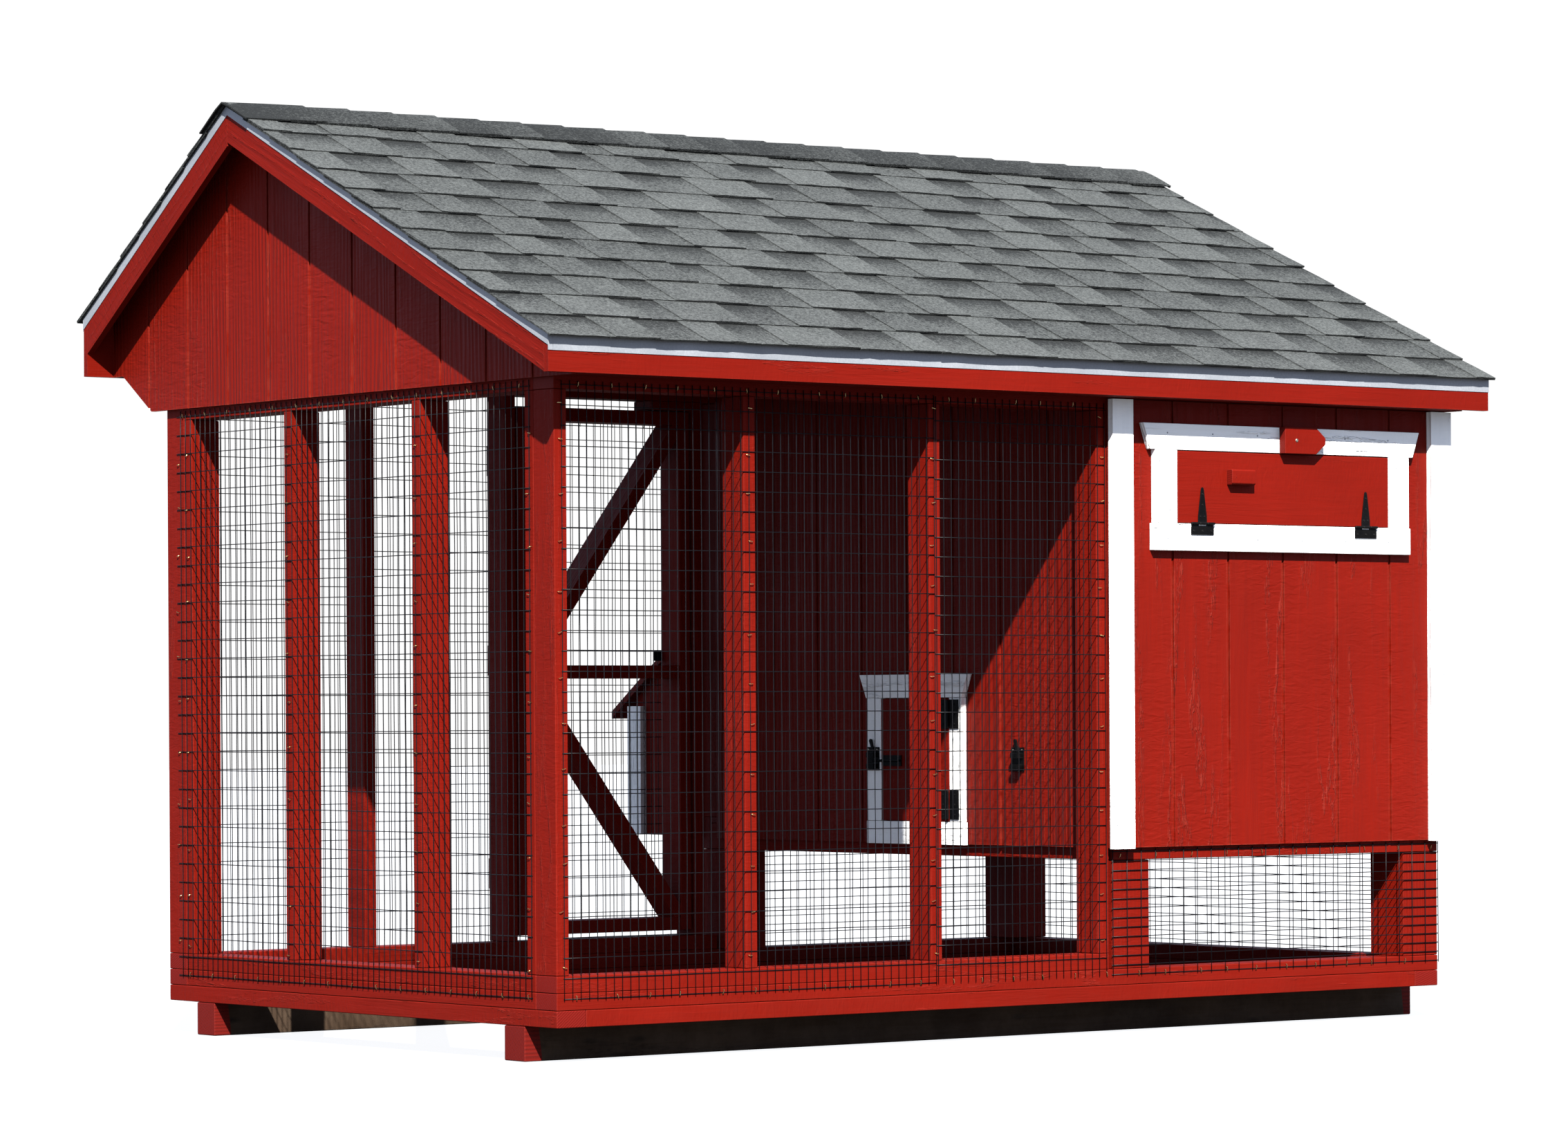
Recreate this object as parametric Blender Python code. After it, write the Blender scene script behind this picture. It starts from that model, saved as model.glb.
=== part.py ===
# Chicken coop: wire run and raised hen house under one roof.
# Lengths are in inches from the near bottom corner of the base, and toWorld turns them into metres.
# X runs along the front, Y from front to back, Z up from the underside of the base.
import math

import bmesh
import bpy
from mathutils import Matrix, Vector

inch = 0.0254
gap = 0.012                     # 0.3 mm between touching pieces
half = gap / 2

# base and walls
baseLength = 120.0
baseDepth = 72.0
layer = 1.7                     # one flat two-by-four of the base
sillTop = 2 * layer
plateTop = 3 * layer
depth = 3.5                     # two-by-four, wide way
stud = 1.5                      # two-by-four, narrow way
frontPlate = 62.4               # underside of the front and left top plates
backPlate = 66.5
skidSize = 3.5
skidInset = 5.5
skidProud = 1.2

# hen house
houseLeft = 71.5
siding = 0.5
trim = 0.75
wallBottom = 16.2
wallTop = 63.58
floorTop = 18.6
floorBottom = 14.9
legSize = 5.2
grooveStep = 8.0
grooveWide = 0.375
grooveDeep = 0.2

# roof
ridgeY = 53.4
ridgeZ = 94.6
frontEave = -4.5
backEave = 83.0
frontRise = (ridgeZ - 67.25) / (ridgeY - frontEave)
backRise = (ridgeZ - 73.9) / (backEave - ridgeY)
frontAngle = math.atan(frontRise)
backAngle = math.atan(backRise)
overhang = 3.8                  # outer face of the rake boards past the end walls
deckThick = 0.5
rakeWide = 3.5
shingleLift = 0.08
shinglePast = 0.7
exposure = 5.65
courseThin = 0.2
courseThick = 0.4

# drop door on the house front
dropLeft = 80.4
dropRight = 111.6
dropBottom = 50.6
dropTop = 58.4
dropAxis = (-1.45, 50.62)       # y and z of its hinge line
buttonPivot = (96.9, 59.8)

# pop door between the run and the house
popFront = 25.4
popBack = 37.25
popBottom = 18.62
popTop = 32.2
popAxis = (70.53, 25.42)        # x and y of its hinge line
latchHeight = 25.3

# run door in the back wall
runLeft = 43.5
runRight = 67.8
runBottom = 5.7
runTop = 65.3
runAxis = (43.5, 72.28)
runRail = 35.4
runLatchHeight = 37.3

# nest box behind the house
nestLeft = 71.6
nestRight = 120.2
nestOut = 84.4
lidRise = 0.673
lidTip = (88.0, 30.9)
lidThick = 0.75
lidAxis = (73.33, 40.95)

# the finished object stands on z = 0 with its bounding box centred on x = 0, y = 0
shinglePastRake = 0.7
yLow = frontEave - shinglePast
shift = Vector((-baseLength / 2, -(yLow + lidTip[0]) / 2, skidSize - half))


def toWorld(x, y, z):
    return (Vector((x, y, z)) + shift) * inch


for old in list(bpy.data.objects):
    bpy.data.objects.remove(old, do_unlink=True)

coop = bpy.data.collections.new("chicken_coop")
cutters = bpy.data.collections.new("cutters")
bpy.context.scene.collection.children.link(coop)
bpy.context.scene.collection.children.link(cutters)

red = (0.44, 0.025, 0.016)
darkRed = (0.36, 0.02, 0.014)
white = (0.83, 0.83, 0.8)
black = (0.012, 0.012, 0.013)
brown = (0.075, 0.042, 0.024)
slate = (0.13, 0.15, 0.145)
alu = (0.72, 0.74, 0.76)
ply = (0.5, 0.36, 0.2)
wireBlack = (0.01, 0.01, 0.011)


def paint(obj, colour, rough=0.5, metal=0.0):
    mat = bpy.data.materials.new(obj.name)
    mat.use_nodes = True
    shader = mat.node_tree.nodes["Principled BSDF"]
    shader.inputs["Base Color"].default_value = (*colour, 1.0)
    shader.inputs["Roughness"].default_value = rough
    shader.inputs["Metallic"].default_value = metal
    mat.diffuse_color = (*colour, 1.0)
    obj.data.materials.append(mat)


def addObject(name, mesh, origin, collection):
    obj = bpy.data.objects.new(name, mesh)
    obj.location = toWorld(*origin)
    collection.objects.link(obj)
    if collection is cutters:
        obj.hide_render = True
        obj.display_type = "WIRE"
    return obj


def finish(name, bm, origin, collection):
    bmesh.ops.recalc_face_normals(bm, faces=bm.faces)
    bm.transform(Matrix.Scale(inch, 4))
    mesh = bpy.data.meshes.new(name)
    bm.to_mesh(mesh)
    bm.free()
    return addObject(name, mesh, origin, collection)


def boxShape(bm, lo, hi, origin):
    size = [b - a for a, b in zip(lo, hi)]
    centre = [(a + b) / 2 - o for a, b, o in zip(lo, hi, origin)]
    place = Matrix.Translation(centre) @ Matrix.Diagonal((*size, 1.0))
    bmesh.ops.create_cube(bm, size=1.0, matrix=place)


def box(name, lo, hi, origin=None, collection=None, inset=half):
    """Box between two corners, drawn in by half a gap on every side."""
    lo = [a + inset for a in lo]
    hi = [b - inset for b in hi]
    if origin is None:
        origin = [(a + b) / 2 for a, b in zip(lo, hi)]
    bm = bmesh.new()
    boxShape(bm, lo, hi, origin)
    return finish(name, bm, origin, collection or coop)


def prism(name, outline, axis, start, end, origin=None, collection=None):
    """Outline of two coordinates, pushed along the third one."""
    def point(u, v, w):
        if axis == "X":
            return (w, u, v)
        if axis == "Y":
            return (u, w, v)
        return (u, v, w)
    if origin is None:
        us = [p[0] for p in outline]
        vs = [p[1] for p in outline]
        origin = point(sum(us) / len(us), sum(vs) / len(vs), (start + end) / 2)
    bm = bmesh.new()
    ring = [bm.verts.new(Vector(point(u, v, start)) - Vector(origin)) for u, v in outline]
    face = bm.faces.new(ring)
    grown = bmesh.ops.extrude_face_region(bm, geom=[face])
    moved = [g for g in grown["geom"] if isinstance(g, bmesh.types.BMVert)]
    bmesh.ops.translate(bm, verts=moved, vec=point(0, 0, end - start))
    return finish(name, bm, origin, collection or coop)


def rod(name, centre, axis, radius, length, origin=None, collection=None, sides=16):
    turn = {"X": Matrix.Rotation(math.pi / 2, 4, "Y"), "Y": Matrix.Rotation(math.pi / 2, 4, "X")}
    origin = origin or centre
    place = Matrix.Translation(Vector(centre) - Vector(origin)) @ turn.get(axis, Matrix.Identity(4))
    bm = bmesh.new()
    bmesh.ops.create_cone(bm, cap_ends=True, segments=sides, radius1=radius, radius2=radius,
                          depth=length, matrix=place)
    return finish(name, bm, origin, collection or coop)


def boolean(obj, other, operation):
    step = obj.modifiers.new(other.name, "BOOLEAN")
    step.operation = operation
    step.solver = "EXACT"
    step.object = other


def joinBoxes(obj, boxes):
    for lo, hi in boxes:
        number = len(obj.modifiers)
        boolean(obj, box(f"{obj.name}_add{number}", lo, hi, collection=cutters, inset=half), "UNION")


def cutBoxes(obj, boxes, label="cut"):
    """Several clear cutters share one mesh."""
    bm = bmesh.new()
    for lo, hi in boxes:
        boxShape(bm, lo, hi, boxes[0][0])
    boolean(obj, finish(f"{obj.name}_{label}", bm, boxes[0][0], cutters), "DIFFERENCE")


def frontZ(y, lift):
    return ridgeZ + lift / math.cos(frontAngle) - (ridgeY - y) * frontRise


def backZ(y, lift):
    return ridgeZ + lift / math.cos(backAngle) - (y - ridgeY) * backRise


def apex(lift):
    """Point where both slopes meet when lifted off the deck."""
    u = lift * (1 / math.cos(backAngle) - 1 / math.cos(frontAngle)) / (frontRise + backRise)
    return (ridgeY + u, frontZ(ridgeY + u, lift))


# ---- base ----
def makeSkids():
    for name, y in (("skid_front", skidInset), ("skid_back", baseDepth - skidInset - skidSize)):
        skid = box(name, (0, y, -skidSize), (baseLength + skidProud, y + skidSize, 0))
        paint(skid, brown, 0.8)


def ringOf(name, z0, z1, endsThrough, xEnd=baseLength, closed=True):
    """Flat boards around the edge, end boards or long boards running through."""
    front = (0, 0, z0), (xEnd, depth, z1)
    back = (0, baseDepth - depth, z0), (xEnd, baseDepth, z1)
    left = (0, half, z0), (depth, baseDepth - half, z1)
    right = (xEnd - depth, half, z0), (xEnd, baseDepth - half, z1)
    ring = box(name, *left)
    joinBoxes(ring, [front, back] + ([right] if closed else []))
    return ring


def makeBase():
    paint(ringOf("base_frame", 0, layer, True), red, 0.45)
    paint(ringOf("sill_frame", layer, sillTop, False), red, 0.45)
    paint(ringOf("bottom_plates", sillTop, plateTop, False, xEnd=houseLeft, closed=False), red, 0.45)


# ---- wall frames ----
def makeFrames():
    front = box("wall_frame_front", (0, 0, frontPlate), (baseLength, depth, frontPlate + stud))
    studs = []
    for x in (0, 23.2, 47.2, houseLeft - stud):
        studs.append(((x, 0, plateTop), (x + stud, depth, frontPlate + 0.2)))
    for x in (houseLeft + siding + gap, baseLength - stud):
        studs.append(((x, 0, floorTop), (x + stud, depth, frontPlate + 0.2)))
    joinBoxes(front, studs)
    paint(front, red, 0.45)

    left = box("wall_frame_left", (0, depth, frontPlate), (depth, baseDepth - depth, frontPlate + stud))
    studs = []
    for y in (depth, 23.3, 47.2, baseDepth - depth - stud):
        studs.append(((0, y, plateTop), (depth, y + stud, frontPlate + 0.2)))
    joinBoxes(left, studs)
    paint(left, red, 0.45)

    y0 = baseDepth - depth
    back = box("wall_frame_back", (0, y0, backPlate), (baseLength, baseDepth, backPlate + stud))
    studs = []
    for x in (0, 22.9, 41.9, 68.2):
        studs.append(((x, y0, plateTop), (x + stud, baseDepth, backPlate + 0.2)))
    for x in (houseLeft + siding + gap, baseLength - stud):
        studs.append(((x, y0, floorTop), (x + stud, baseDepth, backPlate + 0.2)))
    joinBoxes(back, studs)
    paint(back, red, 0.45)


# ---- hen house ----
def makePlatform():
    x0 = houseLeft + siding + gap
    deck = box("house_platform", (x0, 0, floorTop - 0.7), (baseLength, baseDepth, floorTop))
    rimTop = floorTop - 0.5
    rims = [((x0, 0, floorBottom), (baseLength, stud, rimTop)),
            ((x0, baseDepth - stud, floorBottom), (baseLength, baseDepth, rimTop)),
            ((x0, 1.2, floorBottom), (x0 + stud, baseDepth - 1.2, rimTop)),
            ((baseLength - stud, 1.2, floorBottom), (baseLength, baseDepth - 1.2, rimTop))]
    legs = []
    for x in (x0, baseLength - legSize):
        for y in (0, baseDepth - legSize):
            legs.append(((x, y, sillTop), (x + legSize, y + legSize, floorBottom + 0.2)))
    joinBoxes(deck, rims + legs)
    paint(deck, red, 0.45)


def gableOutline():
    lift = -deckThick - gap
    out = [(frontEave + trim + gap, 63.6), (74.4, 63.6), (80.3, 67.7), (backEave - trim - gap, 67.7)]
    out.append((backEave - trim - gap, backZ(backEave - trim - gap, lift)))
    out.append(apex(lift))
    out.append((frontEave + trim + gap, frontZ(frontEave + trim + gap, lift)))
    return out


def grooves(first, last, makeBox):
    count = int((last - first) / grooveStep) + 1
    return [makeBox(first + i * grooveStep) for i in range(count)]


def makeWalls():
    x1 = baseLength + siding
    front = box("house_wall_front", (houseLeft, -siding, wallBottom), (x1, 0, wallTop))
    cutBoxes(front, grooves(80.35, 119, lambda x: ((x - grooveWide / 2, -siding - 1, wallBottom - 1),
                                                    (x + grooveWide / 2, -siding + grooveDeep,
                                                     wallTop + 1))),
             "grooves")
    cutBoxes(front, [((dropLeft + 1, -2, dropBottom + 1), (dropRight - 1, 2, dropTop - 1))], "door")
    paint(front, red, 0.45)

    top = -deckThick - 2 * gap
    y0 = depth
    y1 = baseDepth - depth
    outline = [(y0 + half, wallBottom), (y1 - half, wallBottom), (y1 - half, backZ(y1, top)), apex(top),
               (y0 + half, frontZ(y0, top))]
    partition = prism("house_wall_run_side", outline, "X", houseLeft + half, houseLeft + siding - half)
    cutBoxes(partition, grooves(y0 + 6, y1 - 2,
                                lambda y: ((houseLeft - 1, y - grooveWide / 2, wallBottom - 1),
                                           (houseLeft + grooveDeep, y + grooveWide / 2, 97))), "grooves")
    cutBoxes(partition, [((houseLeft - 2, popFront + 0.8, popBottom + 0.8),
                          (houseLeft + 2, popBack - 0.8, popTop - 0.8))], "door")
    paint(partition, red, 0.45)

    back = box("house_wall_back", (houseLeft, baseDepth, wallBottom),
               (baseLength, baseDepth + siding, backPlate + stud))
    yOut = baseDepth + siding
    cutBoxes(back, grooves(80.35, 119, lambda x: ((x - grooveWide / 2, yOut - grooveDeep,
                                                   wallBottom - 1),
                                                   (x + grooveWide / 2, yOut + 1, backPlate + 3))),
                                                   "grooves")
    cutBoxes(back, [((74.5, baseDepth - 2, 20), (117.5, baseDepth + 2, 33.5))], "nests")
    paint(back, red, 0.45)

    corner = gableOutline()
    wall = [(half, wallBottom), (baseDepth - half, wallBottom), (baseDepth - half, 63.6)]
    right = prism("house_wall_right", wall + corner[1:] + [corner[0], (half, 63.6)], "X",
                  baseLength + half, baseLength + siding - half)
    cutBoxes(right, grooves(2.8, 80, lambda y: ((x1 - grooveDeep, y - grooveWide / 2, wallBottom - 1),
                                                (x1 + 1, y + grooveWide / 2, 97))), "grooves")
    paint(right, red, 0.45)

    gable = prism("gable_panel_left", corner, "X", -siding, -half)
    cutBoxes(gable, grooves(2.8, 80, lambda y: ((-siding - 1, y - grooveWide / 2, 60),
                                                (-siding + grooveDeep, y + grooveWide / 2, 97))),
                                                "grooves")
    paint(gable, red, 0.45)


def makeCornerTrim():
    y0 = -siding - trim
    x1 = baseLength + siding
    yb = baseDepth + siding
    low = wallBottom - 0.1
    first = box("corner_trim_front_left", (houseLeft - 0.2, y0, low), (houseLeft + 2.7, -siding,
                                                                       wallTop))
    second = box("corner_trim_front_right", (118.15, y0, low), (x1 + trim, -siding, wallTop))
    joinBoxes(second, [((x1, y0, low), (x1 + trim, 1.75, wallTop))])
    third = box("corner_trim_back_left", (houseLeft - 0.2, yb, 42), (houseLeft + 2.7, yb + trim,
                                                                     backPlate))
    fourth = box("corner_trim_back_right", (x1, 69.5, low), (x1 + trim, yb, wallTop))
    joinBoxes(fourth, [((118.3, yb, 42), (x1 + trim, yb + trim, wallTop)),
                       ((x1, 70, 42), (x1 + trim, yb + trim, wallTop))])
    for piece in (first, second, third, fourth):
        paint(piece, white, 0.45)


# ---- roof ----
def slab(name, side, y0, y1, low, high, x0, x1, collection=None):
    """Plumb-cut slab that follows one slope."""
    z = frontZ if side == "front" else backZ
    outline = [(y0, z(y0, low)), (y1, z(y1, low)), (y1, z(y1, high)), (y0, z(y0, high))]
    return prism(name, outline, "X", x0, x1, collection=collection)


def shingles(name, side, eave):
    """Courses step down the slope like saw teeth."""
    rise = frontRise if side == "front" else backRise
    z = frontZ if side == "front" else backZ
    way = -1 if side == "front" else 1
    run = exposure / math.sqrt(1 + rise * rise)
    end = eave + way * shinglePast
    top = ridgeY + way * half
    outline = [(top, z(top, shingleLift)), (end, z(end, shingleLift))]
    y = end
    while abs(y - ridgeY) > run:
        outline.append((y, z(y, courseThick)))
        y -= way * run
        outline.append((y, z(y, courseThin)))
    outline.append((y, z(y, courseThick)))
    outline.append((top, z(top, courseThin + 0.05)))
    x0 = -overhang - shinglePastRake
    field = prism(name, outline, "X", x0, baseLength - x0)
    paint(field, slate, 0.9)


def makeRoof():
    x0 = -overhang + trim + half
    x1 = baseLength + overhang - trim - half
    xOut = -overhang
    for side, y0, y1 in (("front", frontEave, ridgeY - half), ("back", ridgeY + half, backEave)):
        paint(slab(f"roof_deck_{side}", side, y0, y1, -deckThick, 0, x0, x1), ply, 0.8)
        shingles(f"shingles_{side}", side, frontEave if side == "front" else backEave)
        rake0 = y0 if side == "back" else frontEave + trim + half
        rake1 = y1 if side == "front" else backEave - trim - half
        for end, a in (("left", xOut), ("right", baseLength + overhang - trim + half)):
            rake = slab(f"rake_board_{side}_{end}", side, rake0, rake1, -rakeWide, 0, a, a + trim - half)
            paint(rake, red, 0.45)
    low = courseThick + gap
    high = low + 0.2
    reach = 5.2
    cap = [(ridgeY - reach, frontZ(ridgeY - reach, low)), apex(low), (ridgeY + reach,
                                                                      backZ(ridgeY + reach, low)),
           (ridgeY + reach, backZ(ridgeY + reach, high)), apex(high),
           (ridgeY - reach, frontZ(ridgeY - reach, high))]
    ridge = prism("ridge_cap", cap, "X", xOut - shinglePastRake, baseLength + overhang + shinglePastRake)
    paint(ridge, slate, 0.9)
    lift = -deckThick - gap
    y0 = frontEave
    y1 = frontEave + trim
    front = prism("fascia_front", [(y0, 63.7), (y1, 63.7), (y1, frontZ(y1, lift)), (y0, frontZ(y0,
                                                                                               lift))],
                  "X", xOut, baseLength + overhang)
    y0 = backEave - trim
    y1 = backEave
    back = prism("fascia_back", [(y0, 67.7), (y1, 67.7), (y1, backZ(y1, lift)), (y0, backZ(y0, lift))],
                 "X", xOut, baseLength + overhang)
    soffit = box("soffit_front", (0, frontEave + trim, 63.7), (baseLength, 0, 64.15))
    for piece in (front, back, soffit):
        paint(piece, red, 0.45)


def makeDripEdge():
    """Thin metal angle on the rakes and eaves, joined at the corners."""
    thin = 0.05
    drop = 1.35
    rakeDrop = 0.9

    def vee(y0, y1, low, high):
        return [(y0, frontZ(y0, low)), apex(low), (y1, backZ(y1, low)), (y1, backZ(y1, high)),
                apex(high), (y0, frontZ(y0, high))]

    edge = None
    for end, way, face in (("left", -1, -overhang), ("right", 1, baseLength + overhang)):
        a, b = sorted((face + way * gap, face + way * (gap + thin)))
        c, d = sorted((face + way * (gap + thin / 2), face - way * 2.0))
        leg = vee(frontEave + 0.02, backEave - 0.02, -rakeDrop, gap + thin + 0.006)
        if edge is None:
            edge = prism("drip_edge", leg, "X", a, b)
        else:
            boolean(edge, prism(f"drip_edge_{end}", leg, "X", a, b, collection=cutters), "UNION")
        flange = vee(frontEave + 0.05, backEave - 0.05, gap, gap + thin)
        boolean(edge, prism(f"drip_edge_{end}_flange", flange, "X", c, d, collection=cutters), "UNION")
    x0 = -overhang + 0.5
    x1 = baseLength - x0
    for end, z, face, way in (("front", frontZ, frontEave, -1), ("back", backZ, backEave, 1)):
        y0 = face + way * (gap + thin)
        y1 = face + way * gap
        y2 = face - way * 2.0
        low = gap + 0.012
        high = gap + thin - 0.012
        outline = [(y0, z(face, -drop)), (y1, z(face, -drop)), (y1, z(y1, low)), (y2, z(y2, low)),
                   (y2, z(y2, high)), (y0, z(y0, high))]
        boolean(edge, prism(f"drip_edge_{end}", outline, "X", x0, x1, collection=cutters), "UNION")
    paint(edge, alu, 0.35, 0.6)


# ---- drop door ----
def makeDropDoor():
    y0 = -siding - trim
    header = [(76.6, dropTop), (115.3, dropTop), (116.3, 61.2), (75.6, 61.2)]
    frame = prism("drop_door_trim", header, "Y", y0 + half, -siding - half)
    joinBoxes(frame, [((dropLeft - 3.1, y0, 50.0), (dropLeft, -siding, dropTop + 0.5)),
                      ((dropRight, y0, 50.0), (dropRight + 3.1, -siding, dropTop + 0.5)),
                      ((77.05, y0, 47.7), (114.9, -siding, dropBottom))])
    paint(frame, white, 0.45)

    hinge = (96.0, *dropAxis)
    door = box("drop_door", (dropLeft + 0.05, y0, dropBottom + 0.04), (dropRight - 0.05, -siding,
                                                                       dropTop - 0.08),
               origin=hinge)
    joinBoxes(door, [((87.5, y0 - 0.9, 54.8), (91.0, y0 + 0.2, 56.5))])
    paint(door, red, 0.45)
    front = y0 - gap
    for side, x in (("left", 83.9), ("right", 108.0)):
        strap = box(f"drop_strap_{side}", (x - 0.5, front - 0.1, dropBottom + 0.06), (x + 0.5,
                                                                                     front + half, 54.5),
                    origin=(x, *dropAxis))
        boolean(strap, rod(f"drop_strap_{side}_knuckle", (x, *dropAxis), "X", 0.13, 1.0,
                           collection=cutters),
                "UNION")
        paint(strap, black, 0.5, 0.6)
        plate = box(f"drop_plate_{side}", (x - 1.62, front - 0.1, 49.4), (x + 1.62, front + half,
                                                                          dropBottom - 0.12))
        for i, dx in enumerate((-1.15, 1.15)):
            joinBoxes(plate, [((x + dx - 0.5, front - 0.09, 50.0), (x + dx + 0.5, front, dropBottom))])
            knuckle = rod(f"drop_plate_{side}_knuckle{i}", (x + dx, *dropAxis), "X", 0.13, 1.1,
                          collection=cutters)
            boolean(plate, knuckle, "UNION")
        paint(plate, black, 0.5, 0.6)

    x, z = buttonPivot
    y1 = y0 - 2 * gap
    shape = [(-1.7, -1.45), (2.9, -1.45), (4.3, -0.35), (4.3, 0.35), (2.9, 1.45), (-1.7, 1.45)]
    button = prism("turn_button", [(x + u, z + v) for u, v in shape], "Y", y1 - 0.95, y1,
                   origin=(x, y1, z))
    paint(button, red, 0.45)


# ---- pop door ----
def latch(name, place, turn):
    """Gate latch: base plate with a cheek above and below the slot for the strike rod."""
    shape = box(name, (0, 0, -1.1), (2.1, 0.12, 1.5), origin=(0, 0, 0))
    joinBoxes(shape, [((0.1, 0.02, 0.35), (1.4, 0.85, 0.9)), ((0.1, 0.02, -0.9), (1.4, 0.85, -0.35))])
    lever = prism(f"{name}_lever", [(0.65, 0.95), (0.95, 0.95), (1.5, 2.2), (1.35, 2.4), (1.1,
                                                                                          2.35)], "Y",
                  0.14, 0.32, origin=(0.8, 0.2, 1.2))
    for obj in (shape, lever):
        paint(obj, black, 0.5, 0.6)
    holder = bpy.data.objects.new(f"{name}_place", None)
    coop.objects.link(holder)
    holder.location = toWorld(*place)
    holder.rotation_euler = (0, 0, turn)
    parts = [shape, lever] + [step.object for step in shape.modifiers]
    for obj in parts:
        obj.location -= toWorld(0, 0, 0)
        obj.parent = holder
    return shape


def makePopDoor():
    x0 = houseLeft - trim
    header = [(23.3, popTop), (39.9, popTop), (41.1, 34.8), (22.3, 34.8)]
    frame = prism("pop_door_trim", header, "X", x0 + half, houseLeft - half)
    joinBoxes(frame, [((x0, popBack, popBottom - 0.5), (houseLeft, popBack + 2.5, popTop + 0.5)),
                      ((x0, popFront - 2.1, popBottom - 0.5), (houseLeft, popFront, popTop + 0.5)),
                      ((x0, 23.1, 16.1), (houseLeft, popBack + 2.6, popBottom))])
    paint(frame, white, 0.45)

    hinge = (*popAxis, 25.4)
    door = box("pop_door", (x0, popFront + 0.05, popBottom + 0.05), (houseLeft, popBack - 0.05,
                                                                     popTop - 0.05),
               origin=hinge)
    paint(door, red, 0.45)
    face = x0 - gap
    for end, z in (("top", 28.8), ("bottom", 18.9)):
        leaf = box(f"pop_hinge_{end}", (face - 0.1, popFront + 0.02, z), (face + half,
                                                                          popFront + 1.6, z + 3.2),
                   origin=(*popAxis, z + 1.6))
        knuckle = rod(f"pop_hinge_{end}_knuckle", (*popAxis, z + 1.6), "Z", 0.13, 3.1,
                      collection=cutters)
        boolean(leaf, knuckle, "UNION")
        paint(leaf, black, 0.5, 0.6)
    strike = box("pop_strike", (face - 0.16, 33.6, latchHeight - 0.6), (face + half, 36.9,
                                                                        latchHeight + 0.6),
                 origin=(*popAxis, latchHeight))
    boolean(strike, rod("pop_strike_rod", (face - 0.27, 36.1, latchHeight), "Y", 0.14, 4.6,
                        collection=cutters),
            "UNION")
    paint(strike, black, 0.5, 0.6)
    latch("pop_latch", (x0 - half, 37.5, latchHeight), math.pi / 2)
    latch("hold_latch", (houseLeft - half, 13.6, latchHeight), math.pi / 2)


# ---- run door ----
def diagonal(name, start, end, wide, y0, y1):
    a = Vector(start)
    b = Vector(end)
    side = (b - a).normalized() * (wide / 2)
    side = Vector((-side.y, side.x))
    outline = [tuple(a + side), tuple(b + side), tuple(b - side), tuple(a - side)]
    return prism(name, outline, "Y", y0, y1, collection=cutters)


def makeRunDoor():
    y0 = baseDepth - depth
    y1 = baseDepth
    origin = (*runAxis, runBottom)
    x0 = runLeft + 0.05
    door = box("run_door", (x0, y0, runBottom), (x0 + stud, y1, runTop), origin=origin)
    joinBoxes(door, [((runRight - stud, y0, runBottom), (runRight, y1, runTop)),
                     ((x0 + 0.3, y0, runTop - stud), (runRight - 0.3, y1, runTop)),
                     ((x0 + 0.3, y0, runBottom), (runRight - 0.3, y1, runBottom + stud)),
                     ((x0 + 0.3, y0, runRail - stud / 2), (runRight - 0.3, y1, runRail + stud / 2))])
    for i, z in enumerate((runTop - 1.0, runBottom + 1.0)):
        tip = (runRight - 1.2, z)
        root = (x0 + 1.0, runRail)
        boolean(door, diagonal(f"run_door_brace{i}", root, tip, stud, y0 + 0.05, y1 - 0.05), "UNION")
    paint(door, red, 0.45)
    face = y1 + gap
    strike = box("run_strike", (runRight - 2.6, face + 0.1, runLatchHeight - 0.6),
                 (runRight - 0.2, face + 0.22, runLatchHeight + 0.6), origin=(*runAxis, runLatchHeight))
    boolean(strike, rod("run_strike_rod", (runRight - 0.3, face + 0.31, runLatchHeight), "X", 0.14, 3.6,
                        collection=cutters), "UNION")
    paint(strike, black, 0.5, 0.6)
    latch("run_latch", (68.3, y1 + half, runLatchHeight), 0.0)


# ---- nest box ----
def lidTop(y):
    return lidTip[1] + (lidTip[0] - y) * lidRise


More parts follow.
